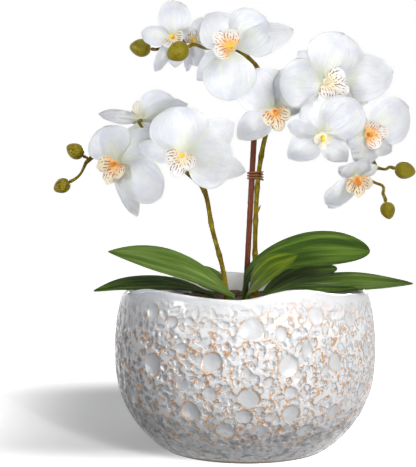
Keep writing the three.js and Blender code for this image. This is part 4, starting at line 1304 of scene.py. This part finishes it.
# %% Make the eleven blooms, with the angles mirrored in those that face back
def layer(form, lobes, mirror, level, chance, ripple):
    bm = bmesh.new()
    for angle, length, half_width in lobes:
        rounded = PETAL if half_width >= ROUND_SEPAL else form
        lobe = (mirror * angle, length, half_width)
        add_lobe(bm, rounded, lobe, level, chance, LAYER_GRID, ripple)
    add_hub(bm, level, 0.9 * MM)
    return bm


for name, ((lip_angle, lip_size), petals, sepals) in BLOOMS.items():
    place = bloom_frame(name)
    mirror = -1 if place.col[2].y > 0 else 1
    chance = random.Random(f"bloom {name}")
    layers = {
        "sepals": layer(SEPAL, sepals, mirror, SEPAL_LEVEL, chance, 0.7 * MM),
        "petals": layer(PETAL, petals, mirror, PETAL_LEVEL, chance, 0.8 * MM),
        "lip": lip(mirror * lip_angle, lip_size, chance),
    }
    finishes = {"sepals": [SEPAL_WHITE], "petals": [PETAL_WHITE], "lip": list(LIP_FINISHES[name])}
    for part, bm in layers.items():
        bmesh.ops.transform(bm, matrix=place, verts=bm.verts)
        node = f"bloom_{name}_{part}"
        piece = add_piece(f"{part}_of_bloom_{name}", bm, finishes[part], f"bloom_{name}", node)
        add_detail(piece)
print("blooms", len(BLOOMS))

# %% [markdown]
# ## Floor, light and camera
# The object stands on a white floor in front of white. A large soft key lamp stands high on the
# right, with a narrow one for the pot, and a small bright window beside it makes the glaze's
# highlights. Weak narrow lamps reach the blooms from the left, the front and the back, one touches
# the rim, and a broad one hangs above. The left stays in shade. The floor and the world look white
# to the camera and in reflections, but light the object only gently. Left of and behind the pot,
# the floor's white is turned down as a painted shadow.

# %% Floor
def white_to_camera(tree):
    path = tree.nodes.new("ShaderNodeLightPath")
    seen = path.outputs["Is Camera Ray"]
    for ray in ("Is Glossy Ray", "Is Transmission Ray"):
        either = tree.nodes.new("ShaderNodeMath")
        either.operation = "MAXIMUM"
        tree.links.new(seen, either.inputs[0])
        tree.links.new(path.outputs[ray], either.inputs[1])
        seen = either.outputs["Value"]
    return seen


def floor_paper():
    finish = Finish("floor_paper")
    across, back, _ = finish.split(finish.spot)
    # Left of and behind the pot the white glow falls to 0.31: a painted shadow on the floor.
    shade = finish.times(finish.ramp(across, -0.33, -0.09), finish.ramp(across, 0.08, 0.0))
    depth = finish.times(finish.ramp(back, -0.1, 0.0), finish.ramp(back, 0.34, 0.2))
    glow_with_painted_shadow = finish.ramp(finish.times(shade, depth), 0.0, 1.0, 1.0, 0.31)
    strength = finish.times(white_to_camera(finish.tree), glow_with_painted_shadow)
    return finish.done(
        Base_Color=(0.62, 0.62, 0.62), Roughness=1.0, Specular_IOR_Level=0.0,
        Emission_Color=(1.0, 1.0, 1.0), Emission_Strength=strength,
    )


bm = bmesh.new()
bmesh.ops.create_grid(bm, x_segments=1, y_segments=1, size=6)
floor = new_object("floor", bm, [floor_paper()])
floor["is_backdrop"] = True

# %% World
world = bpy.data.worlds.new("studio")
bpy.context.scene.world = world
world.use_nodes = True
sky = world.node_tree
background = sky.nodes["Background"]
background.inputs["Color"].default_value = (0.92, 0.95, 1.0, 1)
background.inputs["Strength"].default_value = 0.08
white = sky.nodes.new("ShaderNodeBackground")
white.inputs["Color"].default_value = (1, 1, 1, 1)
white.inputs["Strength"].default_value = 1.0
either = sky.nodes.new("ShaderNodeMixShader")
sky.links.new(white_to_camera(sky), either.inputs["Fac"])
sky.links.new(background.outputs["Background"], either.inputs[1])
sky.links.new(white.outputs["Background"], either.inputs[2])
sky.links.new(either.outputs["Shader"], sky.nodes["World Output"].inputs["Surface"])


# %% Lamps
# Place, target, size, watts, colour and spread. A small spread makes a narrow beam.
WARM = (1.0, 0.985, 0.965)
COOL = (0.92, 0.96, 1)
SMALL = (0.25, 0.25)
BROAD = math.pi
LAMPS = {
    "key": ((0.58, -1.13, 0.84), (0, 0, 0.15), (0.6, 0.6), 6.0, WARM, BROAD),
    "pot_key": ((0.58, -1.13, 0.8), (-0.03, 0, 0.06), (0.12, 0.12), 0.088, WARM, 0.24),
    "window": ((0.47, -1.15, 0.62), (0, 0, 0.13), (0.14, 0.09), 2.9, (1.0, 0.99, 0.98), BROAD),
    "blooms_left": ((-0.95, -0.55, 0.3), (-0.14, 0, 0.27), SMALL, 0.17, COOL, 0.4),
    "blooms_front": ((0, -1.0, 0.12), (0.05, 0, 0.32), SMALL, 0.15, COOL, 0.4),
    "blooms_back": ((0.25, 1.1, 0.5), (0, 0, 0.33), (0.3, 0.3), 0.3, (0.99, 0.99, 1), 0.4),
    "rim": ((-1.1, 0.45, 0.45), (-0.05, 0, 0.15), (0.2, 0.2), 0.35, (0.95, 0.97, 1), BROAD),
    "top": ((0, 0.1, 1.4), (0, 0, 0.1), (1.0, 1.0), 2, (1, 1, 1), BROAD),
}
for name, (place, target, size, power, colour, spread) in LAMPS.items():
    lamp = bpy.data.lights.new(name, "AREA")
    lamp.shape = "RECTANGLE"
    lamp.size, lamp.size_y = size
    lamp.energy = power
    lamp.color = colour
    lamp.spread = spread
    holder = bpy.data.objects.new(name, lamp)
    holder.location = place
    holder.rotation_euler = (Vector(target) - Vector(place)).to_track_quat("-Z", "Y").to_euler()
    bpy.context.scene.collection.objects.link(holder)
print("lamps", len(LAMPS))

# %% Camera at the photograph's angle
CAMERA_PLACE = (-0.0303, -0.985, 0.232)
CAMERA_DIP = 3.334
CAMERA_LENS = 92.6
eye = bpy.data.cameras.new("camera")
eye.lens = CAMERA_LENS
eye.sensor_width = 36.0
camera = bpy.data.objects.new("camera", eye)
camera.location = CAMERA_PLACE
camera.rotation_euler = (math.radians(90 - CAMERA_DIP), 0, 0)
bpy.context.scene.collection.objects.link(camera)
bpy.context.scene.camera = camera
bpy.context.scene.view_settings.view_transform = "Standard"

# %% [markdown]
# ## Measure and finish
# The dressed model must stay as large as the construction. Both boxes are measured, and the size of
# the dressed one is printed in millimetres.

# %% Measure both boxes and finish
low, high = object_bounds()
size = {
    "cad": [list(CAD_LOW), list(CAD_HIGH)],
    "visual": [list(low), list(high)],
}
print("visual box in mm", [round((b - a) * 1000, 1) for a, b in zip(low, high)])
